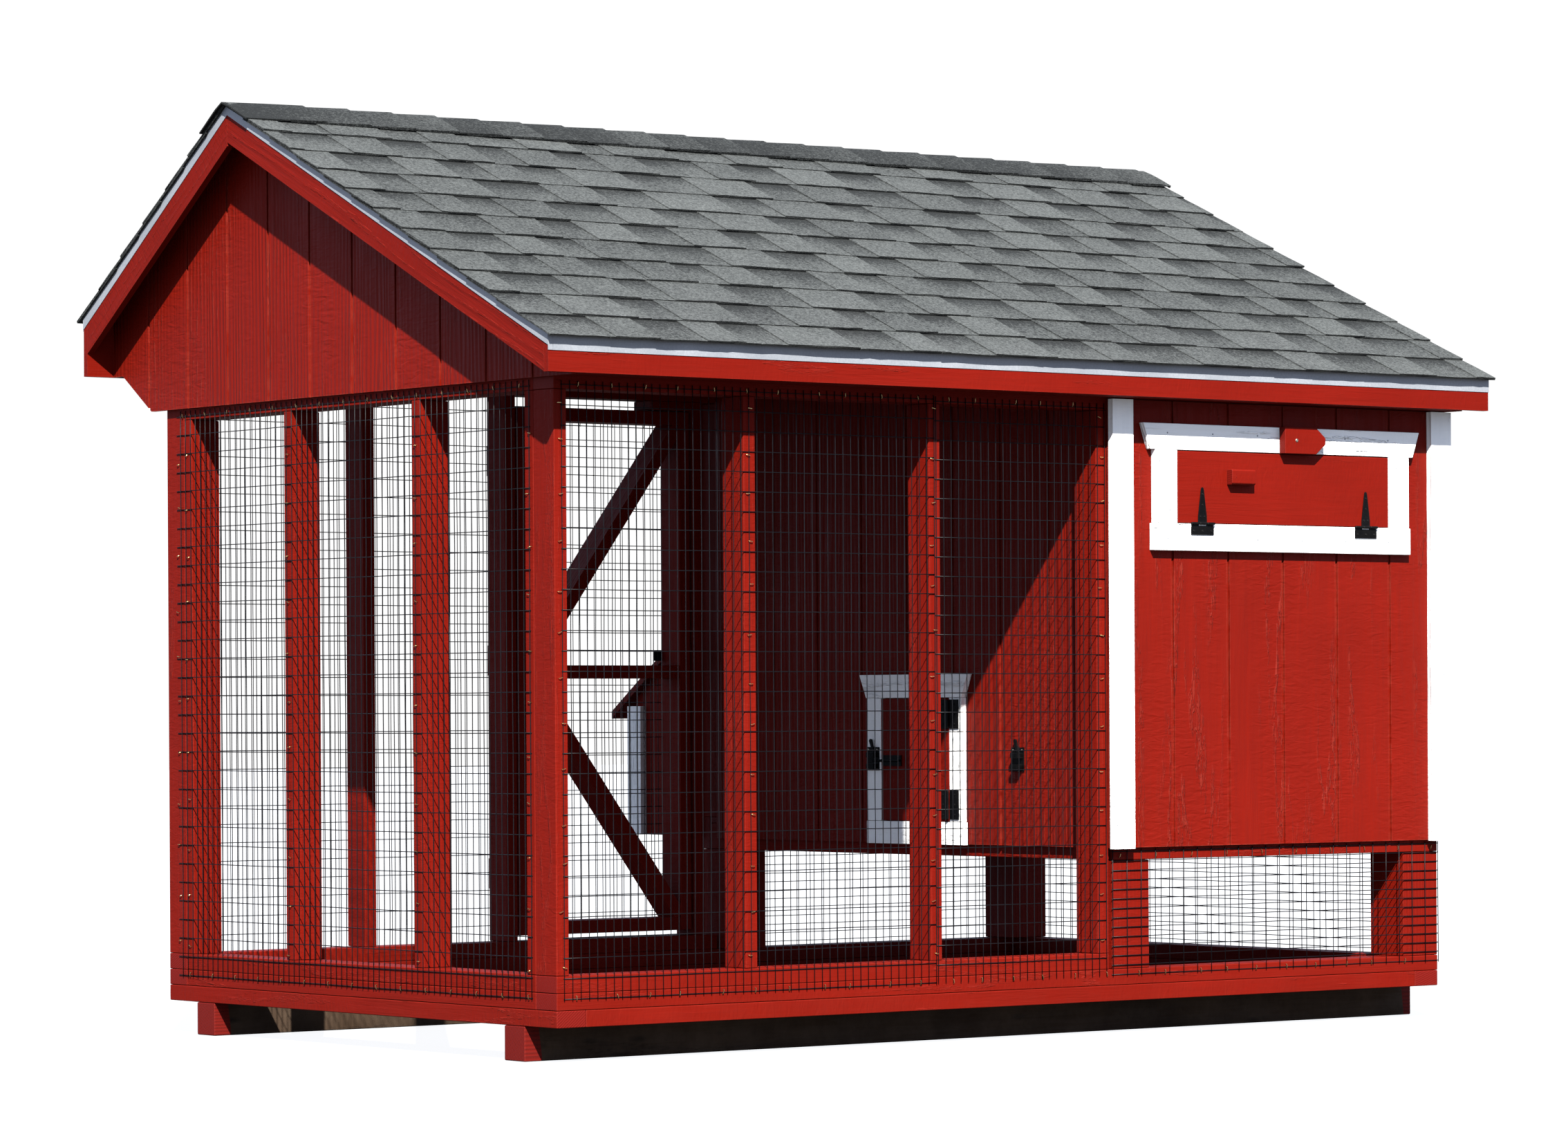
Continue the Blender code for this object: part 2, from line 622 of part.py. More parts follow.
def makeNestBox():
    wall = 0.75
    y0 = baseDepth + siding + gap
    under = lidThick * math.sqrt(1 + lidRise * lidRise) + 2 * gap
    floor = 16.4
    sideShape = [(y0, floor), (nestOut, floor), (nestOut, lidTop(nestOut) - under), (y0,
                                                                                     lidTop(y0) - under)]
    nest = prism("nest_box", sideShape, "X", nestLeft, nestLeft + wall)
    other = prism("nest_box_side", sideShape, "X", nestRight - wall, nestRight, collection=cutters)
    boolean(nest, other, "UNION")
    inner = nestOut - wall
    joinBoxes(nest, [((nestLeft + 0.3, y0 + 0.01, floor + 0.01), (nestRight - 0.3, nestOut - 0.01,
                                                                  floor + wall)),
                     ((nestLeft + 0.3, inner, floor + 0.02), (nestRight - 0.3, nestOut - 0.02,
                                                              lidTop(nestOut) - under - 0.02))])
    for i in range(1, 4):
        x = nestLeft + wall + i * (nestRight - nestLeft - 2 * wall) / 4
        joinBoxes(nest, [((x - 0.3, y0 + 0.02, floor + 0.4), (x + 0.3, inner + 0.2, 29.5))])
    joinBoxes(nest, [((nestLeft, y0 - half, 38.8), (nestRight, lidAxis[0] - 0.02, 41.6))])
    paint(nest, darkRed, 0.5)

    y1 = lidAxis[0] + 0.03
    y2 = lidTip[0]
    drop = lidThick * math.sqrt(1 + lidRise * lidRise)
    outline = [(y1, lidTop(y1) - drop), (y2, lidTop(y2) - drop), (y2, lidTop(y2)), (y1, lidTop(y1))]
    lid = prism("nest_lid", outline, "X", 70.7, 121.1, origin=(96.0, *lidAxis))
    paint(lid, darkRed, 0.5)
    for side, x, way in (("left", nestLeft, -1), ("right", nestRight, 1)):
        a, b = sorted((x, x + way * 0.7))
        c, d = sorted((x + way * 0.7, x - way * 2.2))
        piece = box(f"nest_trim_{side}", (a, 82.5, floor), (b, nestOut + 0.7, 31.5))
        joinBoxes(piece, [((c, nestOut, floor), (d, nestOut + 0.7, 31.5))])
        paint(piece, white, 0.45)


# ---- wire mesh, as thin sheets ----
def makeMesh():
    thin = 0.08
    low = 2.6
    x0 = 0.75
    front = ((x0, -thin - gap, low), (houseLeft - 0.3, 0, 63.2))
    left = ((-thin - gap, 3.95, low), (0, 69.95, 63.4))
    back = ((x0, baseDepth, low), (42.6, baseDepth + thin + gap, 67.6))
    for name, (lo, hi) in (("mesh_front", front), ("mesh_left", left), ("mesh_back", back)):
        paint(box(name, lo, hi), wireBlack, 0.4)
    out = thin + gap
    high = wallBottom - 0.1
    skirt = box("mesh_under_house", (houseLeft + 0.3, -out, low), (baseLength + out, 0, high))
    joinBoxes(skirt, [((baseLength, -out, low), (baseLength + out, baseDepth + out, high)),
                      ((houseLeft + 0.3, baseDepth, low), (baseLength + out, baseDepth + out, high))])
    paint(skirt, wireBlack, 0.4)
    door = box("mesh_run_door", (runLeft + 0.2, baseDepth, runBottom + 0.1),
               (runRight - 0.2, baseDepth + thin + gap, runTop - 0.1), origin=(*runAxis, runBottom))
    paint(door, wireBlack, 0.4)


makeSkids()
makeBase()
makeFrames()
makePlatform()
makeWalls()
makeCornerTrim()
makeRoof()
makeDripEdge()
makeDropDoor()
makePopDoor()
makeRunDoor()
makeNestBox()
makeMesh()
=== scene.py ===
import math
import random

import bmesh
import bpy
from mathutils import Matrix, Vector


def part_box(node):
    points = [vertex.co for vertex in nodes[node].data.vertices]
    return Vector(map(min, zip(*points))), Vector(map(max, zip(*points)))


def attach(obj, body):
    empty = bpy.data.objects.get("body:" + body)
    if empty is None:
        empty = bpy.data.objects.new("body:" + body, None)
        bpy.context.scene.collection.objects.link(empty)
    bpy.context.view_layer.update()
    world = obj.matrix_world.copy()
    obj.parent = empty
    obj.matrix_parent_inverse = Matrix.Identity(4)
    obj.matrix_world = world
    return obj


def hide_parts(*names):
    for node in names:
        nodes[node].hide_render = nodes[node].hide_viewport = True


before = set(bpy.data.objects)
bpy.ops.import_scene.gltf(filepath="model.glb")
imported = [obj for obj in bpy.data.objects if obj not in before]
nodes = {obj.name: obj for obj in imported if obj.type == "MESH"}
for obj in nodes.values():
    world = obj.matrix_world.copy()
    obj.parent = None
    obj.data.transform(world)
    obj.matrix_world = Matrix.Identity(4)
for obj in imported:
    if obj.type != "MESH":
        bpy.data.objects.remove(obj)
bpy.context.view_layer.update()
scene = bpy.context.scene
scene.view_settings.view_transform = "Standard"

inch = 0.0254
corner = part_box("base_frame")[0]  # near bottom corner of the base: sizes below are inches from here
coopLong, coopDeep = 120, 72  # of the base
random.seed(11)


def at(x, y, z):
    return corner + Vector((x, y, z)) * inch


def local(node):
    low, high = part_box(node)
    return (low - corner) / inch, (high - corner) / inch


print("frame loaded:", len(nodes), "parts")


look = {"place": (-304.07, -427.75, 30.86), "yaw": 37.923, "pitch": -0.16, "roll": -0.299,
        "lens": 123.57, "shift": (-0.0050, 0.1019)}


def makeCamera():
    yaw, pitch, roll = (math.radians(look[k]) for k in ("yaw", "pitch", "roll"))
    ahead = Vector((math.sin(yaw) * math.cos(pitch), math.cos(yaw) * math.cos(pitch), math.sin(pitch)))
    right = Vector((math.cos(yaw), -math.sin(yaw), 0))
    up = right.cross(ahead)
    right, up = right * math.cos(roll) + up * math.sin(roll), up * math.cos(roll) - right * math.sin(roll)
    data = bpy.data.cameras.new("camera")
    data.lens = look["lens"]
    data.sensor_width = 36
    data.sensor_fit = "HORIZONTAL"
    data.shift_x, data.shift_y = look["shift"]
    data.clip_end = 200
    cam = bpy.data.objects.new("camera", data)
    turned = Matrix((right, up, -ahead)).transposed().to_4x4()
    cam.matrix_world = Matrix.Translation(at(*look["place"])) @ turned
    scene.collection.objects.link(cam)
    scene.camera = cam


light = {"sunWay": (0.397, 0.595, -0.698), "sunPower": 22.0, "sunAngle": 0.7, "sky": (0.62, 0.74, 1.0),
         "skyPower": 1.4}


def makeLight():
    sun = bpy.data.lights.new("key", "SUN")
    sun.energy = light["sunPower"]
    sun.angle = math.radians(light["sunAngle"])
    sun.color = (1.0, 0.965, 0.9)
    key = bpy.data.objects.new("key", sun)
    key.rotation_euler = Vector(light["sunWay"]).to_track_quat("-Z", "Y").to_euler()
    scene.collection.objects.link(key)
    world = bpy.data.worlds.new("studio")
    world.use_nodes = True
    scene.world = world
    tree = world.node_tree
    back = tree.nodes["Background"]
    seen = tree.nodes.new("ShaderNodeBackground")
    seen.inputs["Color"].default_value = (1, 1, 1, 1)
    seen.inputs["Strength"].default_value = 1.05
    back.inputs["Color"].default_value = (*light["sky"], 1)
    back.inputs["Strength"].default_value = light["skyPower"]
    pick = tree.nodes.new("ShaderNodeMixShader")
    path = tree.nodes.new("ShaderNodeLightPath")
    tree.links.new(path.outputs["Is Camera Ray"], pick.inputs[0])
    tree.links.new(back.outputs[0], pick.inputs[1])
    tree.links.new(seen.outputs[0], pick.inputs[2])
    tree.links.new(pick.outputs[0], tree.nodes["World Output"].inputs[0])


def feed(tree, socket, source):
    if isinstance(source, bpy.types.NodeSocket):
        tree.links.new(source, socket)
    else:
        socket.default_value = (*source, 1) if socket.type == "RGBA" and len(source) == 3 else source


def addNode(tree, kind, links=None, **values):
    node = tree.nodes.new(kind)
    for key, value in values.items():
        setattr(node, key, value)
    for label, source in (links or {}).items():
        feed(tree, node.inputs[label], source)
    return node


def scaleBy(tree, vector, factor):
    return addNode(tree, "ShaderNodeVectorMath", {0: vector, "Scale": factor}, operation="SCALE").outputs[0]


def objectPlace(tree):
    return addNode(tree, "ShaderNodeTexCoord").outputs["Object"]


def boardPlace(tree):  # along, across and through each board, from its own mesh attribute
    return addNode(tree, "ShaderNodeAttribute", attribute_name="grain").outputs["Vector"]


def makeGroup(name, inputs, outputs):
    group = bpy.data.node_groups.new(name, "ShaderNodeTree")
    group.interface.new_socket("Vector", in_out="INPUT", socket_type="NodeSocketVector")
    for label, kind, value in inputs:
        socket = group.interface.new_socket(label, in_out="INPUT", socket_type=kind)
        if value is not None:
            socket.default_value = value
    for label in outputs:
        group.interface.new_socket(label, in_out="OUTPUT", socket_type=col if label == "Color" else num)
    return group, group.nodes.new("NodeGroupInput"), group.nodes.new("NodeGroupOutput")


num, col = "NodeSocketFloat", "NodeSocketColor"


def ramp(tree, source, stops):
    node = addNode(tree, "ShaderNodeValToRGB", {0: source})
    band = node.color_ramp
    while len(band.elements) < len(stops):
        band.elements.new(0.5)
    for element, (place, value) in zip(band.elements, stops):
        element.position = place
        element.color = (value, value, value, 1)
    return node.outputs[0]


def maths(tree, what, a, b=0.0, c=0.0, clamp=False):
    return addNode(tree, "ShaderNodeMath", {0: a, 1: b, 2: c}, operation=what, use_clamp=clamp).outputs[0]


def times(tree, a, b, clamp=False):
    return maths(tree, "MULTIPLY", a, b, clamp=clamp)


def noise(tree, vector, scale, detail, rough=0.5, warp=0.0):
    return addNode(tree, "ShaderNodeTexNoise", {"Vector": vector, "Scale": scale, "Detail": detail,
                                                "Roughness": rough, "Distortion": warp}).outputs[0]


def stretch(tree, vector, scale, shift=(0, 0, 0)):
    return addNode(tree, "ShaderNodeMapping", {0: vector, "Scale": scale, "Location": shift}).outputs[0]


def mixColour(tree, factor, a, b):
    return addNode(tree, "ShaderNodeMix", {0: factor, 6: a, 7: b}, data_type="RGBA").outputs[2]


# pressed cedar grain of the siding and trim, running along the first axis of Vector
def makeGrainGroup():
    inputs = [("Fine", num, 1.0), ("Figure", num, 0.5)]
    group, put, out = makeGroup("pressedGrain", inputs, ["Height", "Streak", "Line"])
    scaled = scaleBy(group, put.outputs[0], put.outputs["Fine"])
    long = stretch(group, scaled, (7, 130, 130))
    fibre = noise(group, long, 1.0, 4.0, 0.62, warp=0.7)
    broad = stretch(group, scaled, (0.9, 9, 9))
    rings = addNode(group, "ShaderNodeTexWave", {"Vector": broad, "Scale": 2.6, "Distortion": 8.0,
                                                 "Detail": 2.5, "Detail Scale": 0.8}, bands_direction="Y")
    # saw marks run across the boards, in patches
    across = stretch(group, scaled, (95, 26, 26))
    saw = noise(group, across, 1.0, 1.5, 0.5, warp=0.9)
    where = stretch(group, scaled, (1.6, 6, 6))
    patch = noise(group, where, 1.0, 3.0)
    here = ramp(group, patch, [(0.38, 0.0), (0.55, 1.0)])
    both = addNode(group, "ShaderNodeMix", {0: put.outputs["Figure"], 2: fibre, 3: rings.outputs[1]})
    rough = addNode(group, "ShaderNodeMix", {0: times(group, here, 0.7),
                                             2: both.outputs[0], 3: saw})
    streak = ramp(group, fibre, [(0.42, 0.0), (0.62, 1.0)])
    group.links.new(streak, out.inputs["Streak"])
    # raised winter grain: thin broken lines that gather into bands, which paintedWood also lightens as a
    # painted highlight
    crest = ramp(group, rings.outputs[1], [(0.88, 0.0), (0.97, 1.0)])
    thread = stretch(group, scaled, (30, 230, 230))
    knobs = noise(group, thread, 1.0, 2.0, warp=1.2)
    broken = ramp(group, knobs, [(0.5, 0.0), (0.56, 1.0)])
    bandAt = stretch(group, scaled, (0.8, 11, 11), (3, 5, 7))
    band = ramp(group, noise(group, bandAt, 1.0, 1.0), [(0.45, 0.0), (0.56, 1.0)])
    line = times(group, times(group, crest, broken), band)
    raised = maths(group, "MULTIPLY_ADD", line, 0.9, rough.outputs[0])
    group.links.new(raised, out.inputs["Height"])
    group.links.new(line, out.inputs["Line"])


# paint rubbed thin on edges and corners, and a painted highlight along edges and groove walls
def makeWearAndHighlightGroup():
    group, put, out = makeGroup("edgeWearAndHighlight", [("Amount", num, 0.5)], ["Mask"])
    shape = addNode(group, "ShaderNodeNewGeometry")
    rounded = addNode(group, "ShaderNodeBevel", {"Radius": 0.004}, samples=4)
    same = addNode(group, "ShaderNodeVectorMath", {0: rounded.outputs[0], 1: shape.outputs["Normal"]},
                   operation="DOT_PRODUCT")
    turned = maths(group, "SUBTRACT", 1.0, same.outputs["Value"], clamp=True)
    edge = ramp(group, turned, [(0.006, 0.0), (0.09, 1.0)])
    patch = noise(group, put.outputs[0], 26.0, 5.0, 0.65)
    torn = ramp(group, patch, [(0.36, 0.0), (0.6, 1.0)])
    both = times(group, edge, torn)
    group.links.new(times(group, both, put.outputs["Amount"], clamp=True), out.inputs["Mask"])


# dust on what faces up and splash marks low down
def makeDustGroup():
    group, put, out = makeGroup("dust", [("Amount", num, 0.5)], ["Mask"])
    shape = addNode(group, "ShaderNodeNewGeometry")
    way = addNode(group, "ShaderNodeSeparateXYZ", {0: shape.outputs["Normal"]})
    place = addNode(group, "ShaderNodeSeparateXYZ", {0: shape.outputs["Position"]})
    top = times(group, way.outputs[2], 0.8, clamp=True)
    low = ramp(group, place.outputs[2], [(0.05, 0.7), (0.32, 0.0)])
    cloud = noise(group, put.outputs[0], 7.0, 6.0, 0.7)
    veil = ramp(group, cloud, [(0.4, 0.0), (0.75, 1.0)])
    sumUp = maths(group, "ADD", top, low, clamp=True)
    both = times(group, sumUp, veil)
    group.links.new(times(group, both, put.outputs["Amount"], clamp=True), out.inputs["Mask"])


# slow drift of a coat of colour, so that no board is one flat tone
def makeDriftGroup():
    inputs = [("Dark", col, None), ("Light", col, None)]
    group, put, out = makeGroup("colourDrift", inputs, ["Color"])
    wide = noise(group, put.outputs[0], 2.3, 5.0, 0.6)
    tint = ramp(group, wide, [(0.3, 0.0), (0.7, 1.0)])
    group.links.new(mixColour(group, tint, put.outputs["Dark"], put.outputs["Light"]),
                    out.inputs["Color"])


# mineral granules of the shingles
def makeGranuleGroup():
    group, put, out = makeGroup("granules", [("Size", num, 1.0)], ["Speck", "Height"])
    scaled = scaleBy(group, put.outputs[0], put.outputs["Size"])
    cell = addNode(group, "ShaderNodeTexVoronoi", {"Vector": scaled, "Scale": 260.0})
    speck = noise(group, scaled, 125.0, 3.0, 0.85)
    tone = ramp(group, speck, [(0.34, 0.0), (0.66, 1.0)])
    group.links.new(tone, out.inputs["Speck"])
    group.links.new(cell.outputs["Distance"], out.inputs["Height"])


def groupNode(tree, name, links):
    return addNode(tree, "ShaderNodeGroup", links, node_tree=bpy.data.node_groups[name])


def newMaterial(name):
    mat = bpy.data.materials.new(name)
    mat.use_nodes = True
    return mat, mat.node_tree, mat.node_tree.nodes["Principled BSDF"]


def coat(tree, shader, colour, rough, gloss):
    tree.links.new(colour, shader.inputs["Base Color"])
    tree.links.new(rough, shader.inputs["Roughness"])
    shader.inputs["Specular IOR Level"].default_value = gloss


def bumpTo(tree, shader, height, strength, distance=0.001):
    bump = addNode(tree, "ShaderNodeBump", {"Height": height, "Strength": strength, "Distance": distance})
    tree.links.new(bump.outputs[0], shader.inputs["Normal"])


def woodVector(tree, along):
    if along == "board":
        return boardPlace(tree)
    turn = Vector(along).rotation_difference(Vector((1, 0, 0))).to_euler()
    return addNode(tree, "ShaderNodeMapping", {0: objectPlace(tree), "Rotation": tuple(turn)}).outputs[0]


# every painted board, sheet and trim: the colours, gloss and grain of each coat; chalk is the paint's chalky
# tone and also a painted highlight
coats = {
    "red": {"dark": (0.076, 0.0024, 0.0006), "light": (0.093, 0.0031, 0.0009), "chalkAndHighlight": (0.125, 0.013, 0.008),
            "rough": 0.55, "gloss": 0.05, "fine": 1.0, "figure": 0.3, "bump": 0.5, "wearAndHighlight": 0.6, "dust": 0.03},
    "redSiding": {"dark": (0.077, 0.0025, 0.0006), "light": (0.096, 0.0032, 0.0009),
                  "chalkAndHighlight": (0.15, 0.026, 0.017), "rough": 0.5, "gloss": 0.06, "fine": 0.8, "figure": 0.5,
                  "bump": 0.8, "wearAndHighlight": 1.0, "dust": 0.02},
    "white": {"dark": (0.60, 0.61, 0.62), "light": (0.70, 0.70, 0.69), "chalkAndHighlight": (0.76, 0.76, 0.74),
              "rough": 0.5, "gloss": 0.2, "fine": 0.9, "figure": 0.5, "bump": 1.0, "wearAndHighlight": 0.3, "dust": 0.04},
}
dustColour = (0.085, 0.06, 0.042)


def paintedWood(name, paint, along="board"):
    c = coats[paint]
    mat, tree, shader = newMaterial(name)
    where = woodVector(tree, along)
    grain = groupNode(tree, "pressedGrain", {"Vector": where, "Fine": c["fine"], "Figure": c["figure"]})
    tone = groupNode(tree, "colourDrift", {"Vector": where, "Dark": c["dark"], "Light": c["light"]})
    wearAndHighlight = groupNode(tree, "edgeWearAndHighlight", {"Vector": where, "Amount": c["wearAndHighlight"]})
    dust = groupNode(tree, "dust", {"Vector": where, "Amount": c["dust"]})
    colour = tone.outputs[0]
    # grain streaks darken the coat; grain lines and edges lighten it towards the chalk colour, partly chalky
    # paint and partly a painted highlight
    for mask, share, over in ((grain.outputs["Streak"], 0.35, "dark"), (grain.outputs["Line"], 0.22, "chalkAndHighlight"),
                              (wearAndHighlight.outputs[0], 0.6, "chalkAndHighlight")):
        colour = mixColour(tree, times(tree, mask, share), colour, c[over])
    colour = mixColour(tree, dust.outputs[0], colour, dustColour)
    rough = maths(tree, "MULTIPLY_ADD", grain.outputs["Streak"], 0.12, c["rough"])
    coat(tree, shader, colour, maths(tree, "ADD", rough, dust.outputs[0], clamp=True), c["gloss"])
    bumpTo(tree, shader, grain.outputs["Height"], c["bump"], 0.0035)
    return mat


def endGrain(name, dark, light, rough):
    mat, tree, shader = newMaterial(name)
    where = boardPlace(tree)
    flat = stretch(tree, where, (0, 1, 1), (0, 0.05, 0.07))
    rings = addNode(tree, "ShaderNodeTexWave", {"Vector": flat, "Scale": 55.0, "Distortion": 2.5,
                                                "Detail": 3.0, "Detail Scale": 2.0}, wave_type="RINGS",
                    rings_direction="X")
    pores = noise(tree, where, 500.0, 3.0)
    both = times(tree, rings.outputs[1], pores)
    rougher = maths(tree, "MULTIPLY_ADD", pores, 0.2, rough)
    coat(tree, shader, mixColour(tree, both, light, dark), rougher, 0.08)
    bumpTo(tree, shader, both, 0.5, 0.0012)
    return mat


bareWood = {"dark": (0.012, 0.0068, 0.0042), "light": (0.037, 0.022, 0.0125), "knot": (0.003, 0.002, 0.0015),
            "rough": 0.75}


# weathered treated timber with knots, for the skids and the roof timbers
def rawTimber(name, dark, light, knot, rough):
    mat, tree, shader = newMaterial(name)
    where = boardPlace(tree)
    grain = groupNode(tree, "pressedGrain", {"Vector": where, "Fine": 0.7, "Figure": 0.55})
    tone = groupNode(tree, "colourDrift", {"Vector": where, "Dark": dark, "Light": light})
    spots = stretch(tree, where, (5, 16, 16))
    ring = addNode(tree, "ShaderNodeTexVoronoi", {"Vector": spots, "Scale": 1.0})
    eye = ramp(tree, ring.outputs["Distance"], [(0.06, 1.0), (0.2, 0.0)])
    colour = mixColour(tree, times(tree, grain.outputs["Height"], 0.55), tone.outputs[0], dark)
    colour = mixColour(tree, eye, colour, knot)
    dust = groupNode(tree, "dust", {"Vector": where, "Amount": 0.35})
    rougher = maths(tree, "MULTIPLY_ADD", grain.outputs["Streak"], 0.15, rough)
    coat(tree, shader, mixColour(tree, dust.outputs[0], colour, dustColour), rougher, 0.1)
    bumpTo(tree, shader, grain.outputs["Height"], 0.6, 0.002)
    return mat


shingleCoat = {"dark": (0.009, 0.0098, 0.01), "light": (0.060, 0.0645, 0.064), "rough": 0.93}


# asphalt shingles: each tab's own tone, and the dark band that fades down a tab, from the mesh attribute tone
def shingleMaterial(name, dim):
    mat, tree, shader = newMaterial(name)
    where = objectPlace(tree)
    grit = groupNode(tree, "granules", {"Vector": where, "Size": 1.0})
    tone = addNode(tree, "ShaderNodeAttribute", attribute_name="tone")
    dark = tuple(v * dim for v in shingleCoat["dark"])
    pale = tuple(v * dim for v in shingleCoat["light"])
    drift = noise(tree, where, 9.0, 6.0, 0.7)
    level = maths(tree, "MULTIPLY_ADD", drift, 0.5, tone.outputs["Fac"])
    speck = maths(tree, "MULTIPLY_ADD", grit.outputs["Speck"], 0.8, level)
    level = maths(tree, "SUBTRACT", speck, 0.61, clamp=True)
    rough = maths(tree, "MULTIPLY_ADD", grit.outputs["Height"], 0.1, shingleCoat["rough"] - 0.04)
    coat(tree, shader, mixColour(tree, level, dark, pale), rough, 0.08)
    bumpTo(tree, shader, grit.outputs["Height"], 0.7, 0.0012)
    return mat


metals = {
    "blackPowder": {"a": (0.0010, 0.0010, 0.0012), "b": (0.0028, 0.0026, 0.0026), "rough": 0.36, "metal": 0.0,
                    "gloss": 0.05, "rub": 0.3},
    "wireCoat": {"a": (0.001, 0.001, 0.0015), "b": (0.003, 0.003, 0.004), "rough": 0.4, "metal": 0.0,
                 "gloss": 0.12, "rub": 0},
    # the white drip metal is set darker and bluer than white: painted shade and a painted sky reflection
    "whiteMetalWithPaintedShade": {"a": (0.115, 0.124, 0.14), "b": (0.168, 0.177, 0.196), "rough": 0.34, "metal": 0.0,
                   "gloss": 0.4, "rub": 0},
    "zincScrew": {"a": (0.24, 0.22, 0.18), "b": (0.4, 0.37, 0.3), "rough": 0.32, "metal": 1.0,
                  "gloss": 0.5, "rub": 0},
    "brass": {"a": (0.3, 0.19, 0.07), "b": (0.5, 0.36, 0.17), "rough": 0.3, "metal": 1.0,
              "gloss": 0.5, "rub": 0},
}


def metalFinish(name):
    m = metals[name]
    mat, tree, shader = newMaterial(name)
    where = objectPlace(tree)
    fleck = noise(tree, where, 180.0, 4.0, 0.7)
    cloud = noise(tree, where, 8.0, 4.0)
    both = times(tree, fleck, cloud)
    spread = ramp(tree, both, [(0.12, 0.0), (0.4, 1.0)])
    colour = mixColour(tree, spread, m["a"], m["b"])
    if m["rub"]:
        wearAndHighlight = groupNode(tree, "edgeWearAndHighlight", {"Vector": where, "Amount": m["rub"]})
        colour = mixColour(tree, wearAndHighlight.outputs[0], colour, tuple(v * 2 + 0.008 for v in m["b"]))
    coat(tree, shader, colour, maths(tree, "MULTIPLY_ADD", fleck, 0.22, m["rough"] - 0.08), m["gloss"])
    shader.inputs["Metallic"].default_value = m["metal"]
    bumpTo(tree, shader, fleck, 0.15, 0.0004)
    return mat


def floorMaterial():
    mat, tree, shader = newMaterial("paleFloor")
    where = objectPlace(tree)
    soft = noise(tree, where, 0.8, 3.0)
    seen = addNode(tree, "ShaderNodeLightPath").outputs["Is Camera Ray"]
    pale = mixColour(tree, soft, (0.018, 0.018, 0.018), (0.024, 0.024, 0.024))
    tree.links.new(mixColour(tree, seen, (0.036, 0.034, 0.031), pale), shader.inputs["Base Color"])
    shader.inputs["Roughness"].default_value = 0.9
    shader.inputs["Emission Color"].default_value = (0.97, 0.98, 1.0, 1)
    tree.links.new(times(tree, seen, 0.95), shader.inputs["Emission Strength"])
    return mat


makeGrainGroup()
makeWearAndHighlightGroup()
makeDustGroup()
makeDriftGroup()
makeGranuleGroup()

ridgeY, ridgeZ = 53.4, 94.6
frontEave, backEave = -4.5, 83.0
frontAngle = math.atan((ridgeZ - 67.25) / (ridgeY - frontEave))
backAngle = math.atan((ridgeZ - 73.9) / (backEave - ridgeY))
upright = (0, 0, 1)
frontSlope = (0, math.cos(frontAngle), math.sin(frontAngle))
backSlope = (0, math.cos(backAngle), -math.sin(backAngle))

mats = {
    "board": paintedWood("barnRedBoard", "red"),
    "boardEnd": endGrain("barnRedEnd", (0.056, 0.0022, 0.001), (0.082, 0.003, 0.0014), 0.5),
    "siding": paintedWood("barnRedSiding", "redSiding", upright),
    "level": paintedWood("barnRedLevel", "red", (1, 0, 0)),
    "rakeFront": paintedWood("barnRedRakeFront", "red", frontSlope),
    "rakeBack": paintedWood("barnRedRakeBack", "red", backSlope),
    "white": paintedWood("whiteBoard", "white"),
    "whiteUp": paintedWood("whiteUpright", "white", upright),
    "skid": rawTimber("skidTimber", bareWood["dark"], bareWood["light"], bareWood["knot"], bareWood["rough"]),
    "skidEnd": endGrain("skidEndPaint", (0.03, 0.002, 0.0015), (0.077, 0.0035, 0.002), 0.55),
    "timber": rawTimber("roofTimber", (0.04, 0.023, 0.013), (0.09, 0.06, 0.035), (0.02, 0.01, 0.005), 0.7),
    "shingle": shingleMaterial("shingleSlate", 1.0),
    "ridge": shingleMaterial("shingleRidge", 0.82),
    "floor": floorMaterial(),
}
for finishName in metals:
    mats[finishName] = metalFinish(finishName)
print("materials:", len(mats))


def newMesh():
    bm = bmesh.new()
    bm.verts.layers.float_vector.new("grain")
    bm.verts.layers.float.new("tone")
    return bm


def addHull(bm, points, faces, along, ends=None, tone=0.0):
    grain = bm.verts.layers.float_vector["grain"]
    shade = bm.verts.layers.float["tone"]
    a = Vector(along).normalized()
    side = a.cross(Vector((0, 0, 1)))
    side = side.normalized() if side.length > 0.1 else Vector((1, 0, 0))
    third = a.cross(side)
    jog = Vector((random.uniform(0, 30), random.uniform(0, 4), random.uniform(0, 4)))
    middle = sum((Vector(p) for p in points), Vector()) / len(points)
    verts = []
    for p in points:
        v = bm.verts.new(at(*p))
        d = (Vector(p) - middle) * inch
        v[grain] = Vector((d.dot(a), d.dot(side), d.dot(third))) + jog
        v[shade] = tone
        verts.append(v)
    made = [bm.faces.new([verts[i] for i in f]) for f in faces]
    bmesh.ops.recalc_face_normals(bm, faces=made)
    if ends is not None:
        for f in made:
            f.normal_update()
            if abs(f.normal.dot(a)) > 0.8:
                f.material_index = ends
    return verts, made


boxFaces = ((0, 1, 3, 2), (4, 6, 7, 5), (0, 4, 5, 1), (2, 3, 7, 6), (0, 2, 6, 4), (1, 5, 7, 3))


def plank(bm, low, high, along="x", ends=1, **more):
    points = [(x, y, z) for x in (low[0], high[0]) for y in (low[1], high[1]) for z in (low[2], high[2])]
    way = {"x": (1, 0, 0), "y": (0, 1, 0), "z": (0, 0, 1)}[along] if isinstance(along, str) else along
    return addHull(bm, points, boxFaces, way, ends, **more)


